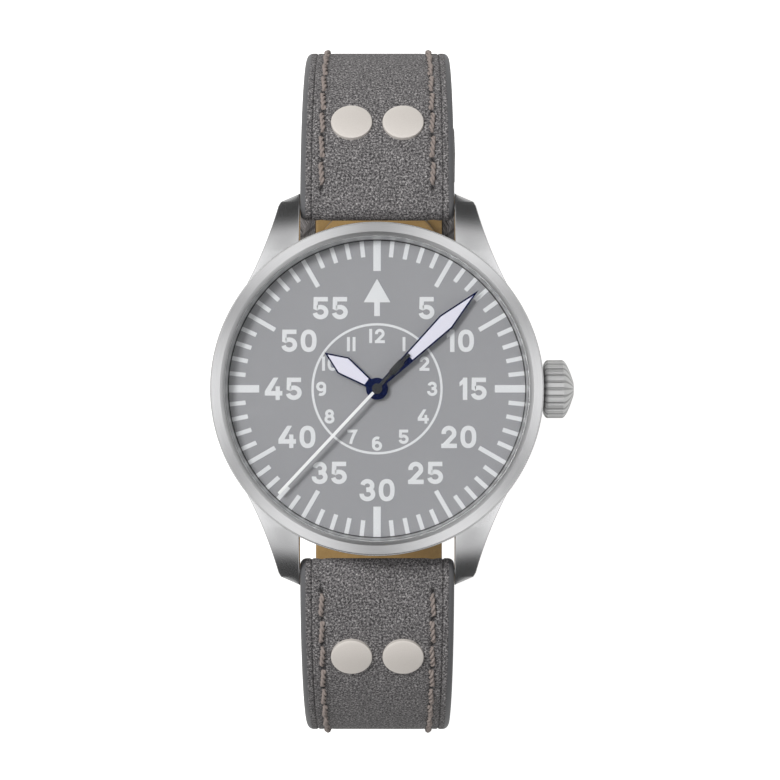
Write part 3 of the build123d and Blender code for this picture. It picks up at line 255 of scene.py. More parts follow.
def edge_bevel(piece, width, segments=2, angle=40):
    """Rounds a piece's sharp edges."""
    bevel = piece.modifiers.new("broken_edge", "BEVEL")
    bevel.width, bevel.segments = width * mm, segments
    bevel.limit_method, bevel.angle_limit = "ANGLE", math.radians(angle)
    return bevel


def rounded_copy(name, node, edge, material, body, segments=2):
    """Copy of a CAD solid, merged and with its sharp edges rounded, that stands for the node."""
    mesh = nodes[node].data.copy()
    while mesh.uv_layers:
        mesh.uv_layers.remove(mesh.uv_layers[0])
    solid = bmesh.new()
    solid.from_mesh(mesh)
    bmesh.ops.remove_doubles(solid, verts=solid.verts, dist=0.002 * mm)
    bmesh.ops.dissolve_limit(solid, angle_limit=math.radians(0.5), verts=solid.verts,
                             edges=solid.edges, delimit={"SHARP"})
    solid.to_mesh(mesh)
    solid.free()
    copy = finish_piece(name, mesh, material, body)
    edge_bevel(copy, edge, segments, 38).use_clamp_overlap = False
    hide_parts(node)


# Brushed 316L steel: fine parallel scratches that spread a reflection across them.
def brushed_steel(name, colour, roughness, stretch, depth, turned_axis, anisotropy=0.75):
    """Metal with scratches about 0.07 mm wide round an axis, across which it shines."""
    material, tree = plain_material(name)
    place = add_node(tree, "ShaderNodeTexCoord").outputs["Object"]
    if turned_axis == "Z":
        split = add_node(tree, "ShaderNodeSeparateXYZ", {0: place})
        radius = add_node(tree, "ShaderNodeVectorMath", {0: place}, operation="LENGTH")
        turn = add_node(tree, "ShaderNodeMath", {0: split.outputs["Y"], 1: split.outputs["X"]},
                        operation="ARCTAN2")
        turn = add_node(tree, "ShaderNodeMath", {0: turn, 1: 0.0006}, operation="MULTIPLY")
        place = add_node(tree, "ShaderNodeCombineXYZ", {"X": radius.outputs["Value"], "Y": turn})
    spread = add_node(tree, "ShaderNodeMapping", {"Vector": place, "Scale": stretch})
    scratch = add_node(tree, "ShaderNodeTexNoise", {
        "Vector": spread, "Scale": 14000.0, "Detail": 3.0, "Roughness": 0.65})
    tone = add_node(tree, "ShaderNodeMapRange", {
        "Value": scratch, "From Min": 0.3, "From Max": 0.7, "To Min": 0.94,
        "To Max": 1.03})
    tint = add_node(tree, "ShaderNodeVectorMath", {
        0: linear(colour)[:3], 1: tone}, operation="MULTIPLY")
    dull = add_node(tree, "ShaderNodeMapRange", {
        "Value": scratch, "To Min": roughness - 0.05, "To Max": roughness + 0.05})
    bump = add_node(tree, "ShaderNodeBump", {
        "Height": scratch, "Strength": depth, "Distance": 0.00002})
    tangent = add_node(tree, "ShaderNodeTangent", direction_type="RADIAL", axis=turned_axis)
    show(tree, add_node(tree, "ShaderNodeBsdfPrincipled", {
        "Base Color": tint, "Metallic": 1.0, "Roughness": dull,
        "Normal": bump, "Tangent": tangent, "Anisotropic": anisotropy,
        "Anisotropic Rotation": 0.25}))
    return material


def grid_faces(rows, columns, wrap_rows, wrap_columns):
    """Four-cornered faces of a grid of points, closed on itself in either direction."""
    row = np.arange(rows if wrap_rows else rows - 1)
    column = np.arange(columns if wrap_columns else columns - 1)
    row, column = np.meshgrid(row, column, indexing="ij")
    after, beside = (row + 1) % rows, (column + 1) % columns
    return np.stack([row * columns + column, after * columns + column,
                     after * columns + beside, row * columns + beside], axis=2).reshape(-1, 4)


def arc_points(centre, radius, start, end, count):
    """Points on a circle from a start angle to an end angle, in degrees."""
    angle = np.radians(np.linspace(start, end, count))
    return np.stack([centre[0] + radius * np.cos(angle),
                     centre[1] + radius * np.sin(angle)], axis=1)


def joined(name, solids, material, body, crease_angle=30):
    """One mesh piece from several solids of points in millimetres and faces."""
    points = np.concatenate([p for p, f in solids]) * mm
    starts = np.cumsum([0] + [len(p) for p, f in solids[:-1]])
    faces = [tuple(i + start for i in face)
             for start, (p, f) in zip(starts.tolist(), solids) for face in f]
    mesh = bpy.data.meshes.new(name)
    mesh.from_pydata(points.tolist(), [], faces)
    face_outwards(mesh)
    return finish_piece(name, mesh, material, body, crease_angle)


def lug_width_at(y):
    """Outer edge of a lug's plan at each y: a line from the case's middle, an arc through
    three points, and two lines round the tip."""
    (x0, y0), (x1, y1), (x2, y2), (x3, y3), (x4, y4), (x5, y5) = lug_plan
    chords = np.array([[x2 - x1, y2 - y1], [x3 - x1, y3 - y1]])
    centre = np.linalg.solve(2 * chords, [x2 ** 2 - x1 ** 2 + y2 ** 2 - y1 ** 2,
                                          x3 ** 2 - x1 ** 2 + y3 ** 2 - y1 ** 2])
    radius = math.hypot(x1 - centre[0], y1 - centre[1])
    side = math.copysign(1, x2 - centre[0])
    arc = centre[0] + side * np.sqrt(np.clip(radius ** 2 - (y - centre[1]) ** 2, 0, None))
    return np.where(y < y1, x0 + (x1 - x0) * (y - y0) / (y1 - y0), np.where(
        y < y3, arc, np.interp(y, [y3, y4, y5], [x3, x4, x5])))


def lug_solid(side_x, side_y):
    """Lug as rounded rectangles across it: the plan less a circle inside the case's middle
    gives their width, a circle that starts level gives their top, and a line and a quarter
    ellipse give their underside."""
    bend, cut = lug_plan[3][1], lug_plan[4][1]
    y = np.concatenate([np.linspace(lug_hidden, bend, 70), np.linspace(bend + 0.05, cut, 8),
                        cut + (lug_reach - cut) * np.sin(np.linspace(0, np.pi / 2, 24)[1:])])
    drop = lug_top - lug_tip_level
    arch = ((lug_reach - lug_start) ** 2 + drop ** 2) / (2 * drop)
    top = lug_top - arch + np.sqrt(arch ** 2 - np.clip(y - lug_start, 0, None) ** 2)
    heel = np.clip((y - lug_heel) / (lug_reach - lug_heel), 0, 1)
    low = np.where(y < lug_heel, np.interp(y, [lug_under_reach, lug_heel], [lug_under, 0.0]),
                   lug_tip_level * (1 - np.sqrt(1 - heel ** 2)))
    inner = np.sqrt(np.clip(lug_hidden_radius ** 2 - y ** 2, lug_inner ** 2, None))
    wide = lug_width_at(y) - inner
    round_edge = np.minimum(lug_edge, np.minimum(wide, top - low) / 2.01)
    corners = []
    for first, across, up in ((0, 1, 1), (90, 0, 1), (180, 0, 0), (270, 1, 0)):
        angle = np.radians(np.linspace(first, first + 90, lug_edge_points))[None, :]
        middle_x = (inner + np.where(across, wide - round_edge, round_edge))[:, None]
        middle_z = np.where(up, top - round_edge, low + round_edge)[:, None]
        corners.append(np.stack([middle_x + round_edge[:, None] * np.cos(angle),
                                 np.broadcast_to(y[:, None], (len(y), lug_edge_points)),
                                 middle_z + round_edge[:, None] * np.sin(angle)], axis=2))
    points = np.concatenate(corners, axis=1) * (side_x, side_y, 1)
    around = 4 * lug_edge_points
    faces = grid_faces(len(y), around, False, True).tolist()
    last = around * (len(y) - 1)
    return points.reshape(-1, 3), faces + [list(range(around)),
                                           list(range(last + around - 1, last - 1, -1))]


def turned_solid(profile, steps):
    """Points and faces of a (radius, level) profile turned about the watch's axis."""
    profile = np.asarray(profile, float)
    turn = np.linspace(0, 2 * np.pi, steps, endpoint=False)[:, None]
    points = np.stack([profile[None, :, 0] * np.cos(turn), profile[None, :, 0] * np.sin(turn),
                       np.broadcast_to(profile[None, :, 1], (steps, len(profile)))], axis=2)
    return points.reshape(-1, 3), grid_faces(steps, len(profile), True, True)


lug_steel = brushed_steel("steel_brushed_along_the_watch", steel_colour, steel_roughness,
                          (1, 0.01, 1), 0.06, "X")
case_points, case_faces = turned_solid(np.concatenate([
    [(case_radius, case_low)],
    arc_points((case_radius - case_round, case_high - case_round), case_round, 0, 90, 7),
    case_bores]), turn_steps)
case = joined("case_middle", [(case_points, case_faces.tolist())]
              + [lug_solid(side_x, side_y) for side_x in (-1, 1) for side_y in (-1, 1)],
              lug_steel, "case", 40)
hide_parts("case_body")


# The bezel: a turned steel ring pressed on the case, its flat top and the slope down to the
# crystal brushed in circles and its corners polished.
bezel_outer, bezel_slope_top = 21.0, 19.91
bezel_low, bezel_high = 8.4, 10.6
bezel_corner, bezel_slope_round = 0.10, 0.06
bezel_ledge_radius, bezel_ledge_level = 19.45, 9.30
bezel_lip_radius, bezel_lip_low, bezel_lip_high = 19.42, 10.0, 10.12
bezel_seat_radius = 19.62


def turned(name, profile, material, body, steps=turn_steps, crease_angle=28):
    """Profile of (radius, level) points turned about the watch's axis, closed all round."""
    points, faces = turned_solid(profile, steps)
    return piece_from(name, points, faces, material, body, crease_angle)


bezel_steel = brushed_steel("steel_brushed_in_circles", steel_colour, 0.32, (1, 1, 1), 0.05,
                            "Z", 0.96)
bezel = turned("bezel_ring", np.concatenate([
    [(bezel_ledge_radius, bezel_low)],
    arc_points((bezel_outer - bezel_corner, bezel_low + bezel_corner), bezel_corner, -90, 0, 5),
    arc_points((bezel_outer - bezel_corner, bezel_high - bezel_corner), bezel_corner, 0, 90, 5),
    arc_points((bezel_slope_top, bezel_high - bezel_slope_round), bezel_slope_round, 90, 135, 4),
    [(bezel_lip_radius, bezel_lip_high), (bezel_lip_radius, bezel_lip_low),
     (bezel_seat_radius, bezel_lip_low), (bezel_seat_radius, bezel_ledge_level),
     (bezel_ledge_radius, bezel_ledge_level)]])[::-1], bezel_steel, "case")
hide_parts("bezel")


# The dial: a brass disc painted matt grey, with the figures printed on it in thick
# off-white ink. The ink stands a little proud.
dial_radius, dial_low, dial_top, dial_bore = 19.4, 7.1, 7.5, 1.0
ink_height, ink_step, ink_sink = 0.03, 0.004, 0.02


def shades(colour, dark, light):
    """Two linear colours: an sRGB hex colour times a darker and times a lighter share."""
    return [tuple(c * share for c in linear(colour)[:3]) + (1.0,) for share in (dark, light)]


def grained(name, colours, scale, detail, roughness, grit=0.5, relief=None, metallic=0.0):
    """Material whose colour drifts between two with a fine noise of a scale per metre. The
    relief is the strength of that noise in the skin and its depth in metres."""
    material, tree = plain_material(name)
    place = add_node(tree, "ShaderNodeTexCoord").outputs["Object"]
    grain = add_node(tree, "ShaderNodeTexNoise", {
        "Vector": place, "Scale": scale, "Detail": detail, "Roughness": grit})
    tint = add_node(tree, "ShaderNodeMix", {
        0: grain, 6: colours[0], 7: colours[1]}, data_type="RGBA")
    surface = add_node(tree, "ShaderNodeBsdfPrincipled", {
        "Base Color": tint.outputs[2], "Metallic": metallic, "Roughness": roughness})
    if relief:
        bump = add_node(tree, "ShaderNodeBump", {
            "Height": grain, "Strength": relief[0], "Distance": relief[1]})
        tree.links.new(bump.outputs[0], surface.inputs["Normal"])
    show(tree, surface)
    return material


# Matt sprayed enamel: pigment grains about 0.1 mm across give it a faint bloom.
dial_grey = grained("matt_grey_enamel", shades("#98989b", 0.93, 1.07), 9000.0, 2.0, 0.62, 0.7,
                    relief=(0.25, 0.00001))
dial = turned("dial_disc", [(dial_bore, dial_low), (dial_radius, dial_low), (dial_radius, dial_top),
                            (dial_bore, dial_top)], dial_grey, "case")
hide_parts("dial")

# Pad-printed ink: dense, with a slightly uneven skin.
ink = grained("off_white_printing_ink", shades("#dfe0e2", 0.95, 1.04), 5000.0, 3.0, 0.5,
              relief=(0.3, 0.00001))

# Sizes of the printed track, measured from the middle of the dial.
track_radius = 18.85
long_ticks = (3.86, 0.95)
five_ticks = (3.86, 0.57)
short_ticks = (2.03, 0.55)
triangle = [(0, 14.0), (1.7, 11.0), (0.36, 11.0), (0.36, 9.25), (-0.36, 9.25), (-0.36, 11.0),
            (-1.7, 11.0)]
circle_radius, circle_width = 8.2, 0.30
minute_height, minute_stroke_share, minute_advance = 2.85, 0.2, 2.46
hour_height, hour_stroke_share, hour_advance = 1.81, 0.205, 1.62
minute_places = {
    "5": (6.30, 10.26), "10": (10.80, 6.11), "15": (12.43, 0), "20": (10.39, -6.12),
    "25": (6.17, -10.70), "30": (0, -12.89), "35": (-6.07, -10.70), "40": (-10.20, -6.12),
    "45": (-11.93, 0), "50": (-9.93, 6.11), "55": (-5.95, 10.26)}
hour_places = {
    "12": (0, 6.72), "1": (3.43, 5.68), "2": (6.03, 3.20), "3": (7.02, 0), "4": (5.88, -3.52),
    "5": (3.38, -6.10), "6": (0, -6.97), "7": (-3.18, -6.10), "8": (-6.05, -3.52), "9": (-7.11, 0),
    "10": (-6.0, 3.2), "11": (-3.28, 5.68)}


def oval(x, y, wide, high, start, end, count=20, power=2.0):
    """Points round an oval, whose sides grow straighter as the power grows above 2."""
    angle = np.radians(np.linspace(start, end, count))
    across, up = np.cos(angle), np.sin(angle)
    return np.stack([x + wide * np.sign(across) * np.abs(across) ** (2 / power),
                     y + high * np.sign(up) * np.abs(up) ** (2 / power)], axis=1)


# Each figure is drawn in a box one high: strokes by their middle line, and blocks by
# their outline. A closed stroke ends where it starts.
nine = [oval(0.35, 0.66, 0.25, 0.24, 0, 360, 32),
        np.concatenate([[(0.60, 0.66), (0.60, 0.44)], oval(0.34, 0.36, 0.26, 0.26, 0, -122, 14)])]
figure_strokes = {
    "0": [oval(0.35, 0.5, 0.255, 0.40, 0, 360, 48, 2.4)],
    "1": [np.array([(0.10, 0.0), (0.10, 1.0)])],
    "2": [np.concatenate([[(0.115, 0.63)], oval(0.345, 0.665, 0.235, 0.235, 172, -28, 20),
                          [(0.145, 0.13)]]),
          np.array([(0.0, 0.10), (0.70, 0.10)])],
    "3": [np.concatenate([oval(0.35, 0.705, 0.215, 0.195, 172, -75, 20), [(0.30, 0.51)]]),
          np.concatenate([[(0.30, 0.52)], oval(0.35, 0.315, 0.255, 0.215, 78, -187, 26)])],
    "4": [],
    "5": [np.concatenate([[(0.67, 0.90), (0.135, 0.90), (0.125, 0.53)],
                          oval(0.345, 0.325, 0.255, 0.225, 128, -170, 28)])],
    "6": [np.array([(0.70, 1.0)]) - part for part in nine],
    "7": [np.array([(0.02, 0.90), (0.60, 0.90), (0.45, 0.60), (0.31, 0.25), (0.25, 0.0)])],
    "8": [oval(0.35, 0.705, 0.205, 0.195, 0, 360, 32), oval(0.35, 0.31, 0.25, 0.21, 0, 360, 36)],
    "9": nine}
figure_blocks = {
    "1": [np.array([(0.02, 0.72), (-0.145, 0.60), (-0.155, 0.79), (0.06, 1.0), (0.15, 1.0),
                    (0.15, 0.78)])],
    "4": [np.array([(0, 0.195), (0.785, 0.195), (0.785, 0.40), (0.27, 0.40), (0.61, 1.0),
                    (0.39, 1.0), (0, 0.40)]),
          np.array([(0.48, 0), (0.67, 0), (0.67, 0.61), (0.48, 0.61)])]}
figure_width, odd_widths = 0.70, {"1": 0.20, "4": 0.785}


def stroke_solid(path, width, low, high):
    """Bar of ink along a path: each point is moved half the width to both sides, across the
    mean of its two neighbours' directions, and widened at a corner so that the width holds."""
    closed = np.allclose(path[0], path[-1])
    path = path[:-1] if closed else path
    ahead = np.roll(path, -1, axis=0) - path
    behind = path - np.roll(path, 1, axis=0)
    if not closed:
        ahead[-1], behind[0] = behind[-1], ahead[0]
    ahead /= np.linalg.norm(ahead, axis=1)[:, None]
    behind /= np.linalg.norm(behind, axis=1)[:, None]
    mean = ahead + behind
    mean /= np.linalg.norm(mean, axis=1)[:, None]
    widen = width / 2 / np.clip((mean * ahead).sum(axis=1), 0.5, 1)
    across = np.stack([-mean[:, 1], mean[:, 0]], axis=1) * widen[:, None]
    left, right = path + across, path - across
    levels = np.array([low, high])
    corners = [np.column_stack([side, np.full(len(side), levels[k])])
               for side, k in ((left, 1), (left, 0), (right, 0), (right, 1))]
    points = np.stack(corners, axis=1).reshape(-1, 3)
    faces = grid_faces(len(path), 4, closed, True)
    if not closed:
        last = 4 * (len(path) - 1)
        faces = np.concatenate([faces, [(0, 1, 2, 3), (last + 3, last + 2, last + 1, last)]])
    return points, faces.tolist()


def plate_faces(count):
    """Faces of a plate from its upper and then its lower outline: top, underside and rim."""
    here = np.arange(count)
    after = (here + 1) % count
    rim = np.stack([here, here + count, after + count, after], axis=1).tolist()
    return [list(range(count)), list(range(count, 2 * count))[::-1]] + rim


def block_solid(outline, low, high):
    """Flat plate with an outline, between two levels."""
    points = [np.column_stack([outline, np.full(len(outline), level)]) for level in (high, low)]
    return np.concatenate(points), plate_faces(len(outline))


def turned_about(points, degrees):
    """Points turned clockwise about the watch's axis, as the hours go."""
    turn = math.radians(degrees)
    x, y = points[:, 0], points[:, 1]
    return np.column_stack([x * math.cos(turn) + y * math.sin(turn),
                            y * math.cos(turn) - x * math.sin(turn)])


def figures(text, place, height, stroke_share, advance, flagged):
    """Solids of a printed number, centred on its place. Where two overlap, each next one
    stands a hair higher, so that no two faces lie in one plane."""
    gap = advance / height - figure_width
    widths = [odd_widths.get(c, figure_width) for c in text]
    start = -(sum(widths) + gap * (len(text) - 1)) / 2
    solids = []
    for c, width in zip(text, widths):
        shift = np.array([start, -0.5])
        top = dial_top + ink_height
        for path in figure_strokes[c]:
            solids.append(stroke_solid((path + shift) * height + place, stroke_share * height,
                                       dial_top - ink_sink, top))
            top += ink_step
        if c != "1" or flagged:
            for outline in figure_blocks.get(c, []):
                solids.append(block_solid((outline + shift) * height + place,
                                          dial_top - ink_sink, top))
                top += ink_step
        start += width + gap
    return solids


marks, ink_levels = [], (dial_top - ink_sink, dial_top + ink_height)
for minute in range(60):
    length, width = (long_ticks if minute % 15 == 0 else
                     five_ticks if minute % 5 == 0 else short_ticks)
    bar = np.array([(0, track_radius), (0, track_radius - length)], float)
    marks.append(stroke_solid(turned_about(bar, minute * 6), width, *ink_levels))
marks.append(block_solid(triangle, *ink_levels))
marks.append(stroke_solid(oval(0, 0, circle_radius, circle_radius, 0, 360, 181), circle_width,
                          *ink_levels))
for text, place in minute_places.items():
    marks += figures(text, place, minute_height, minute_stroke_share, minute_advance, True)
for text, place in hour_places.items():
    marks += figures(text, place, hour_height, hour_stroke_share, hour_advance, False)
print_piece = joined("dial_print", marks, ink, "case")
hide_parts("dial_markings")


# The flange ring: a satin ring between dial and crystal, whose sloping face dimly mirrors
# the ends of the ticks. Painted shade darkens its foot, where it meets the dial.
flange_outer, flange_foot, flange_lip, flange_top = 19.4, 18.85, 19.25, 9.28
flange_foot_shade = (7.9, 8.3)

# Satin nickel plate: a soft mirror, with painted shade, a dark line where it meets the dial.
flange_plate, tree = plain_material("satin_nickel_flange_plate")
place = add_node(tree, "ShaderNodeTexCoord").outputs["Object"]
rise = add_node(tree, "ShaderNodeMapRange", {
    "Value": add_node(tree, "ShaderNodeSeparateXYZ", {0: place}).outputs["Z"],
    "From Min": flange_foot_shade[0] * mm, "From Max": flange_foot_shade[1] * mm})
mist = add_node(tree, "ShaderNodeTexNoise", {"Vector": place, "Scale": 4000.0, "Detail": 2.0})
pale = add_node(tree, "ShaderNodeMix", {
    0: mist, 6: linear("#c4c4c4"), 7: linear("#d6d6d6")}, data_type="RGBA")
# Painted shade: the colour falls to near black below the foot band's top, as a shadow line at the
# joint.
tint = add_node(tree, "ShaderNodeMix", {
    0: rise, 6: linear("#202020"), 7: pale.outputs[2]}, data_type="RGBA")
show(tree, add_node(tree, "ShaderNodeBsdfPrincipled", {
    "Base Color": tint.outputs[2], "Metallic": 0.85, "Roughness": 0.42}))
flange = turned("flange", [
    (flange_foot, dial_top), (flange_outer, dial_top), (flange_outer, flange_top),
    (flange_lip, flange_top)], flange_plate, "case")
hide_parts("flange_ring")


# The hands: blades stamped from thin steel, blued by heat, with a window filled with
# luminous paint. Hour and minute hand taper both ways from their widest point.
hour_level, minute_level, second_level = 8.05, 8.43, 8.81
hand_thickness, hand_rim, hub_rise, lume_foot, lume_drop = 0.15, 0.2, 0.02, 0.02, 0.03
hub_radius, hand_bore = 1.4, 0.5
hour_angle, minute_angle, second_angle = 304.6, 45.9, 223.1
hour_blade = {"length": 8.13, "belly": 5.2, "width": 2.5, "neck": 0.75}
minute_blade = {"length": 18.0, "belly": 12.2, "width": 2.24, "neck": 0.6}
minute_window = 5.8

# Heat-blued steel: a thin oxide film over a polished surface, almost black face on and
# bright blue where it catches the light.
blued = grained("heat_blued_steel", [linear("#0a1138"), linear("#132357")], 900.0, 2.0, 0.22,
                metallic=0.9)

# Luminous paint: zinc sulphide grains in lacquer, matt and slightly bluish white.
lume = grained("luminous_paint", shades("#e4e2ef", 0.94, 1.04), 7000.0, 3.0, 0.7,
               relief=(0.4, 0.00002))


def blade_outline(start, length, belly, width, neck, shrink=0.0):
    """Outline of a blade along twelve: neck, belly, tip and back, drawn in by a rim."""
    share = start / belly
    there = neck + (width - neck) * share
    slope = math.hypot(width / 2, length - belly) / (width / 2)
    return np.array([(there / 2 - shrink, start), (width / 2 - shrink, belly),
                     (0, length - shrink * slope), (shrink - width / 2, belly),
                     (shrink - there / 2, start)])


def rim_solid(outer, inner, low, high):
    """Frame between two outlines with the same number of points."""
    count = len(outer)
    rings = [(outer, high), (outer, low), (inner, low), (inner, high)]
    points = np.stack([np.column_stack([ring, np.full(count, level)])
                       for ring, level in rings], axis=1)
    return points.reshape(-1, 3), grid_faces(count, 4, True, True).tolist()


def disc_outline(radius, count=64):
    """Points round a circle about the middle."""
    return oval(0, 0, radius, radius, 0, 360 - 360 / count, count)


def ring_solid(outer, inner, low, high):
    """Flat ring about the watch's axis."""
    return rim_solid(disc_outline(outer), disc_outline(inner), low, high)


def hand(name, body, blade, window_start, angle, level, hub):
    """Hand of two pieces: a frame, which is the blade's outline less its window, with a hub,
    and a filling a little lower than the frame."""
    window = turned_about(blade_outline(window_start, shrink=hand_rim, **blade), angle)
    outline = turned_about(blade_outline(0.0, **blade), angle)
    top = level + hand_thickness
    made = joined(name + "_frame", [
        rim_solid(outline, window, level, top), ring_solid(hub, hand_bore, level, top + hub_rise)],
        blued, body)
    edge_bevel(made, 0.04)
    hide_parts(name)
    filling = joined(name + "_filling", [
        block_solid(window, level + lume_foot, top - lume_drop)], lume, body)
    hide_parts(name + "_lume")


hand("hour_hand", "hours", hour_blade, hub_radius + hand_rim, hour_angle, hour_level, hub_radius)
hand("minute_hand", "minutes", minute_blade, minute_window, minute_angle, minute_level,
     hub_radius - hand_rim)


# The second hand: a stamped needle lacquered white, with its hub and counterweight left
# black so that only the needle is read.
needle_start, needle_length, needle_width = 0.66, 18.25, 0.39
second_hub, pivot_outer, pivot_inner = 0.67, 0.36, 0.24
tail_end, tail_bar_width = 6.0, 0.46
block_start, block_end, block_width = 2.72, 4.67, 0.93


def lacquer(name, colour, roughness):
    """Sprayed lacquer with a fine orange peel about 0.2 mm across."""
    return grained(name, shades(colour, 0.96, 1.04), 5000.0, 2.0, roughness,
                   relief=(0.2, 0.00001))


def bar_solid(start, end, width, low, high):
    """Flat bar along the second hand."""
    outline = np.array([(-width / 2, start), (width / 2, start), (width / 2, end),
                        (-width / 2, end)])
    return block_solid(turned_about(outline, second_angle), low, high)


white_lacquer = lacquer("white_hand_lacquer", "#f2f2f2", 0.35)
black_lacquer = lacquer("black_hand_lacquer", "#08090b", 0.5)
second_top = second_level + hand_thickness
hub_top = second_top + hand_thickness
needle = joined("second_hand_needle", [
    bar_solid(needle_start, needle_length, needle_width, second_level, second_top)],
    white_lacquer, "seconds")
tail = joined("second_hand_tail", [
    bar_solid(-0.2, -tail_end, tail_bar_width, second_level, second_top),
    bar_solid(-block_start, -block_end, block_width, second_level + 0.01, second_top + 0.01),
    bar_solid(0.3, needle_start + 0.05, needle_width, second_level, second_top - 0.01),
    block_solid(disc_outline(second_hub), second_level - 0.01, hub_top),
    ring_solid(pivot_outer, pivot_inner, hub_top - 0.02, hub_top + 0.03)],
    black_lacquer, "seconds")
for part in (needle, tail):
    edge_bevel(part, 0.03)
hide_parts("second_hand")


# The crystal: a slightly domed sapphire pressed into a clear gasket. Its coating leaves
# almost no reflection, so the shader's index is lower than sapphire's own.
crystal_radius, crystal_low, crystal_edge, crystal_middle = 19.38, 9.32, 10.4, 11.1
crystal_bevel, crystal_rings = 0.2, 24
gasket_inner, gasket_outer, gasket_low, gasket_high = 19.40, 19.60, 9.34, 9.98

sapphire, tree = plain_material("coated_sapphire_crystal")
ray = add_node(tree, "ShaderNodeLightPath")
passing = add_node(tree, "ShaderNodeMath", {
    0: ray.outputs["Is Shadow Ray"], 1: ray.outputs["Is Diffuse Ray"]}, operation="MAXIMUM")
glass = add_node(tree, "ShaderNodeBsdfPrincipled", {
    "Base Color": linear("#fbfcfc"), "Roughness": 0.0, "IOR": 1.16, "Transmission Weight": 1.0})
clear = add_node(tree, "ShaderNodeBsdfTransparent")
show(tree, add_node(tree, "ShaderNodeMixShader", {
    0: passing, 1: glass, 2: clear}))
dome_reach, dome_rise = crystal_radius - crystal_bevel, crystal_middle - crystal_edge
dome_radius = (dome_reach ** 2 + dome_rise ** 2) / (2 * dome_rise)
dome_turn = math.degrees(math.asin(dome_reach / dome_radius))
dome = arc_points((0, crystal_middle - dome_radius), dome_radius, 90 - dome_turn, 90,
                  crystal_rings)
crystal = turned("crystal_glass", np.concatenate([
    [(0.0, crystal_low), (crystal_radius, crystal_low),
     (crystal_radius, crystal_edge - crystal_bevel)], dome]), sapphire, "case")
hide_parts("crystal")

# Moulded nylon gasket round the crystal.
gasket = grained("clear_nylon_gasket", [linear("#848482"), linear("#949492")], 1500.0, 2.0, 0.4)
gasket_ring = turned("gasket_ring", [
    (gasket_inner, gasket_low), (gasket_outer, gasket_low), (gasket_outer, gasket_high),
    (gasket_inner, gasket_high)], gasket, "case")
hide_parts("crystal_gasket")


# The crown: a fluted onion of turned steel that winds and sets the watch, screwed on the
# stem. Two dozen flutes run along it and close towards its small flat end.
crown_start, crown_level = 21.4, 4.2
crown_radius, crown_chamfer, crown_belly, crown_length = 3.75, 0.5, 2.3, 3.85
crown_tip, crown_bow = 0.9, 0.30
flute_count, flute_radius_share, flute_centre_share = 24, 0.062, 1.024
crown_around, crown_along = 576, 36
crown_recess, crown_recess_radius = 1.5, 1.58


def polished_metal(name, colour, roughness):
    """Buffed metal: faint hairlines under 0.2 mm apart soften the mirror."""
    material, tree = plain_material(name)
    place = add_node(tree, "ShaderNodeTexCoord").outputs["Object"]
    hair = add_node(tree, "ShaderNodeTexNoise", {"Vector": place, "Scale": 6000.0, "Detail": 4.0})
    dull = add_node(tree, "ShaderNodeMapRange", {
        "Value": hair, "To Min": roughness - 0.05, "To Max": roughness + 0.06})
    cloud = add_node(tree, "ShaderNodeTexNoise", {"Vector": place, "Scale": 400.0, "Detail": 2.0})
    low, high = shades(colour, 0.95, 1.04)
    tint = add_node(tree, "ShaderNodeMix", {0: cloud, 6: low, 7: high},
                    data_type="RGBA")
    show(tree, add_node(tree, "ShaderNodeBsdfPrincipled", {
        "Base Color": tint.outputs[2], "Metallic": 1.0, "Roughness": dull}))
    return material


def flute_cut(turn):
    """Share of the crown's radius that a flute takes at each turn about it: the face is cut
    back to a circle centred a little outside it."""
    step = 2 * np.pi / flute_count
    away = (turn + step / 2) % step - step / 2
    edge = flute_radius_share ** 2 - (flute_centre_share * np.sin(away)) ** 2
    depth = 1 - flute_centre_share * np.cos(away) + np.sqrt(np.clip(edge, 0, None))
    return np.where(edge > 0, np.clip(depth, 0, 1), 0)


def crown_profile():
    """Reach and radius of the crown's outer face, from the case side to the flat end: a
    chamfer, a straight belly, and a cone that bows out by a half sine."""
    chamfer = np.linspace(0, 1, 6)
    cylinder = np.linspace(0, 1, 10)[1:]
    cone = np.linspace(0, 1, crown_along)[1:]
    reach = np.concatenate([chamfer * crown_chamfer,
                            crown_chamfer + cylinder * (crown_belly - crown_chamfer),
                            crown_belly + (crown_length - crown_belly) * cone])
    radius = np.concatenate([crown_radius - crown_chamfer * (1 - chamfer) ** 2,
                             np.full(len(cylinder), crown_radius),
                             crown_radius + (crown_tip - crown_radius) * cone ** 1.35
                             + crown_bow * np.sin(np.pi * cone)])
    return reach, radius


crown_turn = np.linspace(0, 2 * np.pi, crown_around, endpoint=False)
outer_reach, outer_radius = crown_profile()
bore_reach = np.array([crown_length, crown_recess, crown_recess, 0.0])
bore_radius = np.array([0.0, 0.0, crown_recess_radius, crown_recess_radius])
radius = np.concatenate([outer_radius[:, None] * (1 - flute_cut(crown_turn)),
                         np.broadcast_to(bore_radius[:, None], (4, crown_around))])
reach = np.broadcast_to(np.concatenate([outer_reach, bore_reach])[:, None], radius.shape)
crown_points = np.stack([crown_start + reach, radius * np.cos(crown_turn),
                         crown_level + radius * np.sin(crown_turn)], axis=2)
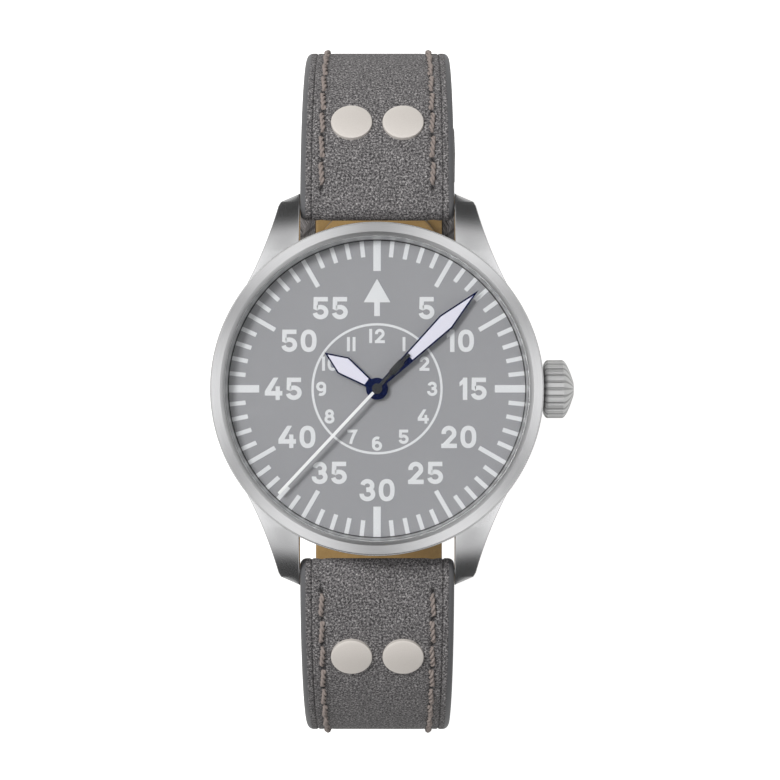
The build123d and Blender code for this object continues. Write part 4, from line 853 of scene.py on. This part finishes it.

# Satin steel with painted shade in the flutes: the colour darkens with each flute's depth.
crown_steel, tree = plain_material("satin_crown_steel")
place = add_node(tree, "ShaderNodeTexCoord").outputs["Object"]
hair = add_node(tree, "ShaderNodeTexNoise", {"Vector": place, "Scale": 6000.0, "Detail": 4.0})
dull = add_node(tree, "ShaderNodeMapRange", {
    "Value": hair, "To Min": 0.50, "To Max": 0.60})
flute = add_node(tree, "ShaderNodeAttribute", attribute_name="flute_shade_depth").outputs["Fac"]
tint = add_node(tree, "ShaderNodeMix", {
    0: flute, 6: linear("#d8d8d8"), 7: linear("#acacac")}, data_type="RGBA")
show(tree, add_node(tree, "ShaderNodeBsdfPrincipled", {
    "Base Color": tint.outputs[2], "Metallic": 1.0, "Roughness": dull}))
crown = piece_from("crown_onion", crown_points.reshape(-1, 3),
                   grid_faces(len(radius), crown_around, True, True), crown_steel,
                   "crown_and_stem", 40)
# Painted shade: each point's share of the full flute depth, which darkens the crown's colour in the
# flutes.
places = np.zeros(3 * len(crown.data.vertices), np.float32)
crown.data.vertices.foreach_get("co", places)
x, y, z = (places.reshape(-1, 3) / mm).T
fluted = ((x < crown_start + crown_length - 0.02)
          & (np.hypot(y, z - crown_level) > crown_recess_radius * 0.5))
depth = fluted * flute_cut(np.arctan2(z - crown_level, y)) / flute_cut(0.0)
flutes = crown.data.attributes.new("flute_shade_depth", "FLOAT", "POINT")
flutes.data.foreach_set("value", depth.astype(np.float32))
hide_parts("crown")


# Behind the crown: its tube, gasket and stem, and at the back the screwed steel back
# with its rubber ring.
def dress(material, *names):
    """Gives carried-over CAD nodes a material of this scene."""
    for name in names:
        for slot in nodes[name].material_slots:
            slot.link = "OBJECT"
            slot.material = material


black_rubber = lacquer("black_nitrile_rubber", "#1b1b1b", 0.75)
polished_steel = polished_metal("polished_steel", "#d4d3d0", 0.12)
dress(polished_steel, "crown_tube", "stem")
dress(black_rubber, "crown_gasket", "case_back_gasket")
back_steel = brushed_steel("steel_back_turned_in_circles", "#c8c7c4", 0.3, (1, 1, 1), 0.1, "Z")
rounded_copy("screwed_back", "case_back", 0.1, back_steel, "case")


# The movement: plates and bridges in grained nickel, wheels in gilt brass, arbors and
# winding parts in steel, held in a moulded ring.
nickel = brushed_steel("nickel_plated_brass", "#c9c5ba", 0.3, (1, 0.05, 1), 0.1, "X")
gilt_brass = brushed_steel("gilt_brass", "#c9a45c", 0.28, (1, 1, 1), 0.1, "Z")
spring_steel = polished_metal("blue_grey_spring_steel", "#8d9097", 0.2)
holder_plastic = lacquer("grey_moulded_acetal", "#6c6c6c", 0.55)
dress(nickel, "main_plate", "train_bridge", "balance_bridge", "barrel", "ratchet_wheel",
      "crown_wheel")
dress(gilt_brass, "centre_wheel", "third_wheel", "fourth_wheel", "minute_wheel", "hour_wheel",
      "balance_wheel")
dress(polished_steel, "cannon_pinion", "escape_wheel", "pallet_fork", "barrel_arbor",
      "winding_pinion", "sliding_pinion", "movement_screws", "spring_bars",
      "spring_bar_tip_12_left", "spring_bar_tip_12_right", "spring_bar_tip_6_left",
      "spring_bar_tip_6_right")
dress(spring_steel, "hairspring", "mainspring")
dress(holder_plastic, "movement_holder")


# The strap halves: an upper of sueded grey leather over a filler, lined in tan calf, cut
# to width and painted at the edges, and sewn with two rows of thick waxed thread.
bar_reach, bar_level = 23.5, 2.5
fall_angle, strap_radius, bend_turn = -5.9, 25.0, 174.1
width_at_lugs, width_at_buckle = 19.9, 18.2
leather_depth, filler_depth, strap_depth = 1.2, 2.4, 3.4
rise_turn, rise_straight, flat_straight, tail_length, tail_bend = 9.0, 20.35, 14.3, 6.9, 21.2
short_straight, fold_reach = 4.3, 1.95
edge_round, lining_round, tip_rows = 0.8, 0.45, 40
crease_inset, crease_width, crease_depth, crease_line = 1.46, 0.11, 0.16, 0.09
seam_inset, seam_start, seam_pitch = 2.75, 2.4, 3.8
trench_width, trench_depth = 0.5, 0.10
hole_across, hole_along, hole_depth = 0.32, 0.40, 0.3
seam_zone, seam_step, strap_step, relief_fade = 3.7, 0.1, 0.3, 0.3

bend_length = strap_radius * math.radians(bend_turn)
rise_length = strap_radius * math.radians(rise_turn)
short_moves = [(bend_length, bend_turn), (short_straight, 0)]
long_moves = [(bend_length + rise_length, bend_turn + rise_turn), (rise_straight, 0),
              (rise_length, -rise_turn), (flat_straight, 0),
              (tail_length, math.degrees(tail_length / tail_bend))]
short_end = bend_length + short_straight
long_end = sum(length for length, turn in long_moves)
strap_high = bar_level + strap_depth / 2
fold_radius = strap_depth / 2


def strap_line(moves, distance, start):
    """Place and heading on the strap's outer face at each distance: straights add their
    length along the heading, and arcs add the chord of the turn made so far."""
    y = np.full_like(distance, start[0])
    z = np.full_like(distance, start[1])
    heading = np.full_like(distance, math.radians(start[2]))
    reached = 0.0
    for length, turn in moves:
        step = np.clip(distance - reached, 0, length)
        if turn:
            radius = length / math.radians(turn)
            after = heading - math.radians(turn) * step / length
            y = y + radius * (np.sin(heading) - np.sin(after))
            z = z + radius * (np.cos(after) - np.cos(heading))
            heading = after
        else:
            y = y + step * np.cos(heading)
            z = z + step * np.sin(heading)
        reached += length
    return y, z, heading


fall = (math.cos(math.radians(fall_angle)), math.sin(math.radians(fall_angle)))
strap_start = (bar_reach - fold_radius * fall[1], bar_level + fold_radius * fall[0], fall_angle)
strap_low = strap_line(short_moves, np.array([bend_length]), strap_start)[1][0]
fold_start = (strap_start[0] + strap_depth * fall[1] + fold_reach * fall[0],
              strap_start[1] - strap_depth * fall[0] + fold_reach * fall[1], 180 + fall_angle)
fold_moves = [(fold_reach, 0), (math.pi * fold_radius, 180)]
fold_length = fold_reach + math.pi * fold_radius


def half_width_at(level):
    """Half the strap's width, which falls evenly with the level from lugs to buckle."""
    share = (strap_high - level) / (strap_high - strap_low)
    return (width_at_lugs + (width_at_buckle - width_at_lugs) * share) / 2


def carried(across, depth, line, flip, along=0.0):
    """Section points carried along the strap: across is x, depth is laid off inwards from
    the line of places and headings, and along is a step ahead. The long half is mirrored."""
    y, z, heading = line
    y = y + along * np.cos(heading) + depth * np.sin(heading)
    z = z + along * np.sin(heading) - depth * np.cos(heading)
    return np.stack(np.broadcast_arrays(across, -y if flip else y, z), axis=-1)


def rounding(inset, radius):
    """Depth of a rounded edge at a distance in from it: a quarter circle."""
    return radius - np.sqrt(np.clip(radius ** 2 - np.clip(radius - inset, 0, None) ** 2, 0, None))


def needle_holes(edge, distance):
    """How deep in a needle hole a point lies: bells on the seam at each stitch's ends."""
    away = (distance - seam_start + seam_pitch / 2) % seam_pitch - seam_pitch / 2
    bell = np.exp(-((edge - seam_inset) / hole_across) ** 2 - (away / hole_along) ** 2)
    return bell * (distance > seam_start - 1)


def upper_relief(edge, distance):
    """Depth added to the upper: a tooled crease, a shallow trench under the seam and needle
    holes, each of them a bell."""
    crease = crease_depth * np.exp(-((edge - crease_inset) / crease_width) ** 2)
    trench = trench_depth * np.exp(-((edge - seam_inset) / trench_width) ** 2)
    return crease + trench + hole_depth * needle_holes(edge, distance)


def band_piece(name, points, uv, edge, holes, closed, material, body):
    """Piece from a grid of points, closed on itself or capped at its ends, that also keeps
    each point's place on the leather, how far from the edge it lies and its needle holes."""
    rows, columns = points.shape[:2]
    faces = grid_faces(rows, columns, closed, True).tolist()
    if not closed:
        faces += [list(range(columns)), list(range((rows - 1) * columns, rows * columns))[::-1]]
    mesh = bpy.data.meshes.new(name)
    mesh.from_pydata((points.reshape(-1, 3) * mm).tolist(), [], faces)
    corner = np.zeros(len(mesh.loops), np.int32)
    mesh.loops.foreach_get("vertex_index", corner)
    mesh.uv_layers.new(name="millimetres").data.foreach_set(
        "uv", uv.reshape(-1, 2)[corner].astype(np.float32).ravel())
    for attribute, values in (("edge_inset", edge), ("needle_hole", holes)):
        mesh.attributes.new(attribute, "FLOAT", "POINT").data.foreach_set(
            "value", values.astype(np.float32).ravel())
    face_outwards(mesh)
    return finish_piece(name, mesh, material, body, 50)


def layer(name, moves, start, first, last, shallow, deep, material, body, flip,
          top_round=0.0, low_round=0.0, seam_from=None):
    """Band of a strap half between two distances and two depths, with rounded edges. Points
    lie close together in the zone of the seam, and the rest of the width is shared out
    between the others. The long half ends in a half circle. A seam starts at a distance."""
    half_tip = width_at_buckle / 2
    distance = np.linspace(first, last, int((last - first) / strap_step))
    if flip:
        near = last - half_tip * (1 - np.cos(np.linspace(np.pi / 2, 0, tip_rows)))
        distance = np.unique(np.concatenate([distance[distance < near.min()], near]))
    distance = distance[:, None]
    line = strap_line(moves, distance, start)
    half = half_width_at(line[1])
    if flip:
        past = np.clip(distance - (last - half_tip), 0, half_tip * 0.9995)
        half = half * np.sqrt(1 - (past / half_tip) ** 2)
    scale = np.minimum(half / half_tip, 1)
    inset = np.concatenate([np.linspace(0, 1, 9) ** 2 * edge_round,
                            np.arange(edge_round + seam_step, seam_zone, seam_step),
                            np.linspace(seam_zone + seam_step, half_tip, 16)])
    side = np.repeat((-1.0, 1.0), (len(inset), len(inset) - 1))
    inset = np.concatenate([inset, inset[::-1][1:]])
    share = (inset - seam_zone) / (half_tip - seam_zone)
    edge = np.where(inset > seam_zone, seam_zone * scale + share * (half - seam_zone * scale),
                    inset * scale)
    low_inset = np.linspace(0, 1, 5) ** 2 * max(low_round, 0.05)
    right = half - low_inset * scale
    across = np.concatenate([side * (half - edge), right, -right[:, ::-1]], axis=1)
    top = shallow + rounding(edge, top_round)
    low = np.broadcast_to(deep - rounding(low_inset, low_round), right.shape)
    edge_all = np.concatenate([edge, np.zeros((len(distance), 2 * right.shape[1]))], axis=1)
    holes = np.zeros_like(edge_all)
    if seam_from is not None:
        ends_share = np.clip(np.minimum(distance - first, last - distance) / relief_fade, 0, 1)
        top = top + upper_relief(edge, distance - seam_from) * ends_share
        holes = needle_holes(edge_all, distance - seam_from)
    depth = np.concatenate([top, low, low[:, ::-1]], axis=1)
    uv = np.stack(np.broadcast_arrays(across, distance), axis=2)
    return band_piece(name, carried(across, depth, line, flip), uv, edge_all, holes, False,
                      material, body)


# Sueded leather: a nap broken into curly veins about a quarter of a millimetre wide, dark in
# the pits and pale on the rubbed tops, over slow clouds of tone. The edge is smooth paint, and
# the crease line and the needle holes are darkened with painted shade.
upper_leather, tree = plain_material("sueded_grey_leather")
place = add_node(tree, "ShaderNodeUVMap", uv_map="millimetres")
veins = add_node(tree, "ShaderNodeTexNoise", {
    "Vector": place, "Scale": 3.9, "Detail": 3.0, "Roughness": 0.72, "Distortion": 0.5})
cells = add_node(tree, "ShaderNodeTexVoronoi", {
    "Vector": place, "Scale": 3.6, "Randomness": 1.0}, feature="DISTANCE_TO_EDGE")
clouds = add_node(tree, "ShaderNodeTexNoise", {"Vector": place, "Scale": 0.40, "Detail": 3.0})
nap = add_node(tree, "ShaderNodeMath", {0: cells, 1: 0.18, 2: veins},
               operation="MULTIPLY_ADD")
colours = add_node(tree, "ShaderNodeValToRGB", {"Fac": nap})
colours.color_ramp.elements[0].position = 0.42
colours.color_ramp.elements[0].color = linear("#3a3839")
colours.color_ramp.elements[1].position = 0.72
colours.color_ramp.elements[1].color = linear("#c9c6c5")
for position, colour in ((0.51, "#636162"), (0.60, "#8d8a8a")):
    colours.color_ramp.elements.new(position).color = linear(colour)
shade = add_node(tree, "ShaderNodeMapRange", {
    "Value": clouds, "To Min": 0.80, "To Max": 1.32})
tint = add_node(tree, "ShaderNodeVectorMath", {0: colours, 1: shade},
                operation="MULTIPLY")
inset = add_node(tree, "ShaderNodeAttribute", attribute_name="edge_inset").outputs["Fac"]
painted = add_node(tree, "ShaderNodeMapRange", {
    "Value": inset, "From Min": 0.62, "From Max": 0.80, "To Min": 1.0, "To Max": 0.0})
crease_shade = add_node(tree, "ShaderNodeMath", {0: inset, 1: crease_inset, 2: crease_line},
                  operation="COMPARE")
hole_shade = add_node(tree, "ShaderNodeAttribute", attribute_name="needle_hole").outputs["Fac"]
crease_shade = add_node(tree, "ShaderNodeMath", {0: crease_shade, 1: 0.5}, operation="MULTIPLY")
dark = add_node(tree, "ShaderNodeMath", {0: crease_shade, 1: hole_shade}, operation="MAXIMUM")
# Painted shade: the crease line at half strength and the needle holes in full are mixed toward near
# black.
tint = add_node(tree, "ShaderNodeMix", {
    0: dark, 6: tint, 7: linear("#151313")}, data_type="RGBA")
tint = add_node(tree, "ShaderNodeMix", {
    0: painted, 6: tint.outputs[2], 7: linear("#5e5e60")}, data_type="RGBA")
dull = add_node(tree, "ShaderNodeMapRange", {
    "Value": painted, "To Min": 0.85, "To Max": 0.5})
rough = add_node(tree, "ShaderNodeMath", {0: 1.0, 1: painted}, operation="SUBTRACT")
height = add_node(tree, "ShaderNodeMath", {0: nap, 1: rough},
                  operation="MULTIPLY")
bump = add_node(tree, "ShaderNodeBump", {
    "Height": height, "Strength": 0.8, "Distance": 0.00018})
show(tree, add_node(tree, "ShaderNodeBsdfPrincipled", {
    "Base Color": tint.outputs[2], "Roughness": dull, "Normal": bump}))

# Vegetable-tanned calf lining: smooth, warm, with pores 0.25 mm apart and slow clouds.
lining_leather, tree = plain_material("tan_calf_lining")
place = add_node(tree, "ShaderNodeUVMap", uv_map="millimetres")
pores = add_node(tree, "ShaderNodeTexVoronoi", {"Vector": place, "Scale": 4.0})
clouds = add_node(tree, "ShaderNodeTexNoise", {"Vector": place, "Scale": 0.35, "Detail": 4.0})
tint = add_node(tree, "ShaderNodeMix", {
    0: clouds, 6: linear("#84683e"), 7: linear("#a88b5b")}, data_type="RGBA")
shade = add_node(tree, "ShaderNodeMapRange", {
    "Value": pores.outputs["Distance"], "From Max": 0.5, "To Min": 0.86, "To Max": 1.04})
tint = add_node(tree, "ShaderNodeVectorMath", {0: tint.outputs[2], 1: shade},
                operation="MULTIPLY")
bump = add_node(tree, "ShaderNodeBump", {
    "Height": pores.outputs["Distance"], "Strength": 0.4, "Distance": 0.00005})
show(tree, add_node(tree, "ShaderNodeBsdfPrincipled", {
    "Base Color": tint, "Roughness": 0.55, "Normal": bump}))

# Edge paint: two coats of grey latex over the sanded filler.
edge_paint = lacquer("grey_edge_paint", "#5e5e60", 0.5)

halves = {}
for hour, moves, end, flip in (("12", short_moves, short_end, False),
                               ("6", long_moves, long_end, True)):
    body = "strap_" + hour
    whole, last, stop = fold_moves + moves, fold_length + end, end
    if not flip:
        whole += [(math.pi * fold_radius, 180), (fold_reach, 0)]
        last, stop = last + fold_length, stop - fold_reach
    upper = layer(body + "_upper", whole, fold_start, 0.0, last, 0.0, leather_depth,
                  upper_leather, body, flip, edge_round, seam_from=fold_length)
    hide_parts(body + "_leather")
    filler = layer(body + "_core", moves, strap_start, fold_reach, stop, leather_depth,
                   filler_depth, edge_paint, body, flip)
    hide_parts(body + "_filler")
    lining = layer(body + "_calf", moves, strap_start, fold_reach, stop, filler_depth,
                   strap_depth, lining_leather, body, flip, low_round=lining_round)
    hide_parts(body + "_lining")
    halves[hour] = (upper, filler, lining)


# The stitching: two-ply waxed linen laid in one stitch per pitch, each end pulled down
# into its needle hole, the plies twisted about each other.
stitch_reach, stitch_margin = 3.2, 3.5
stitch_lift, stitch_dip, stitch_sway = 0.17, 0.55, 0.10
ply_radius, ply_offset, twist_pitch = 0.19, 0.17, 1.7
stitch_points, ply_sides = 22, 8

# Waxed linen: taupe fibres with darker shade between them.
thread = grained("waxed_linen_thread", [linear("#6f6560"), linear("#b3a7a1")], 6000.0, 3.0, 0.6,
                 0.7, relief=(0.5, 0.00004))


def stitch_rows(moves, end, flip):
    """Plies of every stitch of both rows: a helix about a line along the seam that dips at
    its ends by a fifth power."""
    count = int((end - seam_start - stitch_margin) / seam_pitch)
    middle = seam_start + (np.arange(count) + 0.5) * seam_pitch
    share = np.linspace(0, 1, stitch_points)
    distance = (middle[:, None] + (share - 0.5) * stitch_reach).reshape(-1, 1)
    line = strap_line(moves, distance, strap_start)
    lift = np.tile(stitch_lift - stitch_dip * np.abs(2 * share - 1) ** 5, count)[:, None]
    sway = np.tile(stitch_sway * np.sin(np.pi * (share - 0.5)), count)[:, None]
    around = np.linspace(0, 2 * np.pi, ply_sides, endpoint=False)
    tube = grid_faces(stitch_points, ply_sides, False, True)
    points, faces = [], []
    for side in (-1, 1):
        for ply in (0, np.pi):
            twist = 2 * np.pi * distance / twist_pitch * side + ply
            across = (side * (half_width_at(line[1]) - seam_inset + sway)
                      + ply_offset * np.cos(twist) + ply_radius * np.cos(around))
            depth = -lift - ply_offset * np.sin(twist) - ply_radius * np.sin(around)
            first = len(faces) + np.arange(count)
            faces.extend(tube + start for start in (first * stitch_points * ply_sides).tolist())
            points.append(carried(across, depth, line, flip).reshape(-1, 3))
    return np.concatenate(points), np.concatenate(faces)


for hour, moves, end, flip in (("12", short_moves, short_end, False),
                               ("6", long_moves, long_end - width_at_buckle / 2, True)):
    points, faces = stitch_rows(moves, end, flip)
    seam = piece_from(f"strap_{hour}_thread", points, faces, thread, "strap_" + hour,
                      60, flip=not flip)
    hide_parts(f"strap_{hour}_stitching")


# The rivets: silver-plated brass with a low domed head, clenched over a washer inside.
rivet_distance, rivet_spacing = 11.7, 6.7
rivet_radius, rivet_edge, rivet_crown, rivet_seat, rivet_round = 2.675, 0.28, 0.6, 0.15, 0.12
rivet_shank, rivet_washer, washer_height, rivet_steps = 1.0, 2.0, 0.3, 64

# Blasted silver plate: matt and pale, with only a little of a metal's mirror.
rivet_plate = grained("blasted_silver_plate", [linear("#ddd6cf"), linear("#eae4de")], 8000.0,
                      2.0, 0.42, metallic=0.25)
head = arc_points((rivet_radius - rivet_round, rivet_edge - 0.02), rivet_round, 0, 75, 5)
dome_share = np.linspace(1, 0, 12)[1:, None]
dome = np.hstack([(rivet_radius - rivet_round) * dome_share,
                  rivet_crown - (rivet_crown - rivet_edge - 0.1) * dome_share ** 2])
rivet_profile = np.concatenate([
    [(0, -strap_depth - washer_height), (rivet_washer, -strap_depth - washer_height),
     (rivet_washer, -strap_depth), (rivet_shank, -strap_depth), (rivet_shank, -rivet_seat),
     (rivet_radius, -rivet_seat)], head, dome])
turn = np.linspace(0, 2 * np.pi, rivet_steps, endpoint=False)[:, None]
rivet_faces = grid_faces(rivet_steps, len(rivet_profile), True, True)
for hour, moves, flip in (("12", short_moves, False), ("6", long_moves, True)):
    line = strap_line(moves, np.array([rivet_distance]), strap_start)
    points = [carried(side * rivet_spacing / 2 + rivet_profile[:, 0] * np.cos(turn),
                      -rivet_profile[:, 1], line, flip, rivet_profile[:, 0] * np.sin(turn))
              for side in (-1, 1)]
    pair = piece_from(f"strap_{hour}_rivet_pair", np.reshape(points, (-1, 3)),
                      np.concatenate([rivet_faces, rivet_faces + points[0].size // 3]),
                      rivet_plate, "strap_" + hour, 35, flip=flip)
    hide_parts(f"strap_{hour}_rivets")


# The buckle: a cast steel frame and tongue, satin finished, on a bar through the fold of
# the short half.
buckle_steel = polished_metal("satin_buckle_steel", "#cfcdca", 0.28)
rounded_copy("buckle_frame_cast", "buckle_frame", 0.35, buckle_steel, "buckle",
             3)
rounded_copy("buckle_tongue_bent", "buckle_tongue", 0.2, buckle_steel, "tongue",
             3)
dress(buckle_steel, "buckle_bar")


# The keepers: loops of the same leather folded to width, one sewn to the edges of the
# short half by the buckle and one free to slide.
keeper_length, keeper_wall, keeper_room = 6.0, 1.2, 3.7
keeper_corner, keeper_edge, keeper_flat = 1.3, 0.45, 2.3
fixed_half_room, fixed_side_wall = width_at_buckle / 2 + 0.15, 2.2
free_half_room, free_low = 9.7, strap_depth + 0.35
fixed_end = bend_length - 0.8
free_end = fixed_end - keeper_length - 3.7
paint_shift = 0.55


def keeper_route(half, top, low, corner, open_below):
    """Middle line of a keeper in the strap's section, as (across, depth) points: three
    sides and two rounded corners, or four of each for a closed loop."""
    reach = half - corner
    right, left = [arc_points((side * reach, top + corner), corner, start, start + 90, 8)
                   for side, start in ((1, 270), (-1, 180))]
    if open_below:
        return np.concatenate([[(-half, low)], left, right, [(half, low)]])
    return np.concatenate([right, arc_points((reach, low - corner), corner, 0, 90, 8),
                           arc_points((-reach, low - corner), corner, 90, 180, 8), left])


def keeper(name, end, half, low, side_wall, open_below, body, node):
    """Band with rounded edges carried round its route, bent along the strap. At the sides its
    outer face stands further out, by the square of how far the face looks sideways."""
    route = keeper_route(half, -keeper_room - keeper_wall / 2, low, keeper_corner, open_below)
    fine = np.concatenate([np.linspace(a, b, 6)[:-1]
                           for a, b in zip(route, np.roll(route, -1, axis=0))])
    if open_below:
        fine = np.concatenate([fine[:5 * (len(route) - 1)], route[-1:]])
    ahead = np.roll(fine, -1, axis=0) - np.roll(fine, 1, axis=0)
    if open_below:
        ahead[0], ahead[-1] = fine[1] - fine[0], fine[-1] - fine[-2]
    ahead /= np.linalg.norm(ahead, axis=1)[:, None]
    normal = np.column_stack([ahead[:, 1], -ahead[:, 0]])[:, None]
    corner = [arc_points((side * (keeper_length / 2 - keeper_edge),
                          face * (keeper_wall / 2 - keeper_edge)), keeper_edge, a, a + 90, 5)
              for side, face, a in ((1, 1, 0), (-1, 1, 90), (-1, -1, 180), (1, -1, 270))]
    flat = np.linspace(keeper_flat, -keeper_flat, 12)
    upper = np.column_stack([flat, np.full(12, keeper_wall / 2)])
    section = np.concatenate([corner[0], upper, corner[1], corner[2], -upper, corner[3]])
    stand = section[:, 1] + np.where(
        section[:, 1] > 0, (side_wall - keeper_wall) * normal[:, :, 0] ** 2, 0)
    across = fine[:, None, 0] + normal[:, :, 0] * stand
    depth = fine[:, None, 1] + normal[:, :, 1] * stand
    line = strap_line(short_moves, end - keeper_length / 2 + section[:, 0], strap_start)
    length, girth = [np.concatenate([[0], np.cumsum(np.linalg.norm(np.diff(p, axis=0), axis=1))])
                     for p in (fine, section)]
    uv = np.stack(np.broadcast_arrays(girth[None, :], length[:, None]), axis=2)
    edge = np.broadcast_to(keeper_length / 2 - np.abs(section[:, 0]) + paint_shift, across.shape)
    made = band_piece(name, carried(across, depth, line, False), uv, edge, np.zeros_like(edge),
                      not open_below, upper_leather, body)
    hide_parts(node)


keeper("fixed_keeper_loop", fixed_end, fixed_half_room + keeper_wall / 2, strap_depth / 2,
       fixed_side_wall, True, "strap_12", "fixed_keeper")
keeper("free_keeper_loop", free_end, free_half_room + keeper_wall / 2,
       free_low + keeper_wall / 2, keeper_wall, False, "keeper", "free_keeper")


# Punched holes for the tongue in the long half, and the slot for the tongue's eye in the
# short one, cut through every layer. The row of holes lies 2.2 mm nearer the strap's tip
# than the CAD's, so that none shows in the gap below the case.
punch_count, punch_pitch, punch_radius, punch_from_end = 7, 6.5, 1.1, 23.8
slot_half, slot_back, slot_front = 1.25, 2.0, 1.55
cut_overrun = 1.0


def cut_through(piece, cutter):
    """Takes the cutter out of a piece and applies the cut."""
    cut = piece.modifiers.new("cut", "BOOLEAN")
    cut.operation = "DIFFERENCE"
    cut.solver = "EXACT"
    cut.object = cutter
    bpy.context.view_layer.update()
    depsgraph = bpy.context.evaluated_depsgraph_get()
    mesh = bpy.data.meshes.new_from_object(piece.evaluated_get(depsgraph))
    piece.modifiers.clear()
    piece.data = mesh


hole_distance = long_end - punch_from_end - np.arange(punch_count) * punch_pitch
rim = disc_outline(punch_radius, 32)
cutters = []
for place in zip(*strap_line(long_moves, hole_distance, strap_start)):
    ends = [carried(rim[:, 0], depth, place, True, rim[:, 1])
            for depth in (-cut_overrun, strap_depth + cut_overrun)]
    cutters.append((np.concatenate(ends), plate_faces(len(rim))))
punches = joined("punch_cutters", cutters, edge_paint, "strap_6")

y, z, heading = strap_line(short_moves, short_end, strap_start)
pin_y = y + strap_depth / 2 * math.sin(heading)
pin_z = z - strap_depth / 2 * math.cos(heading)
slot_box = joined("slot_cutter", [block_solid([
    (-slot_half, pin_y - slot_back), (slot_half, pin_y - slot_back),
    (slot_half, pin_y + slot_front), (-slot_half, pin_y + slot_front)],
    pin_z - strap_depth, pin_z + strap_depth)], edge_paint, "strap_12")

for hour, cutter in (("6", punches), ("12", slot_box)):
    for part in halves[hour]:
        cut_through(part, cutter)
    bpy.data.objects.remove(cutter)
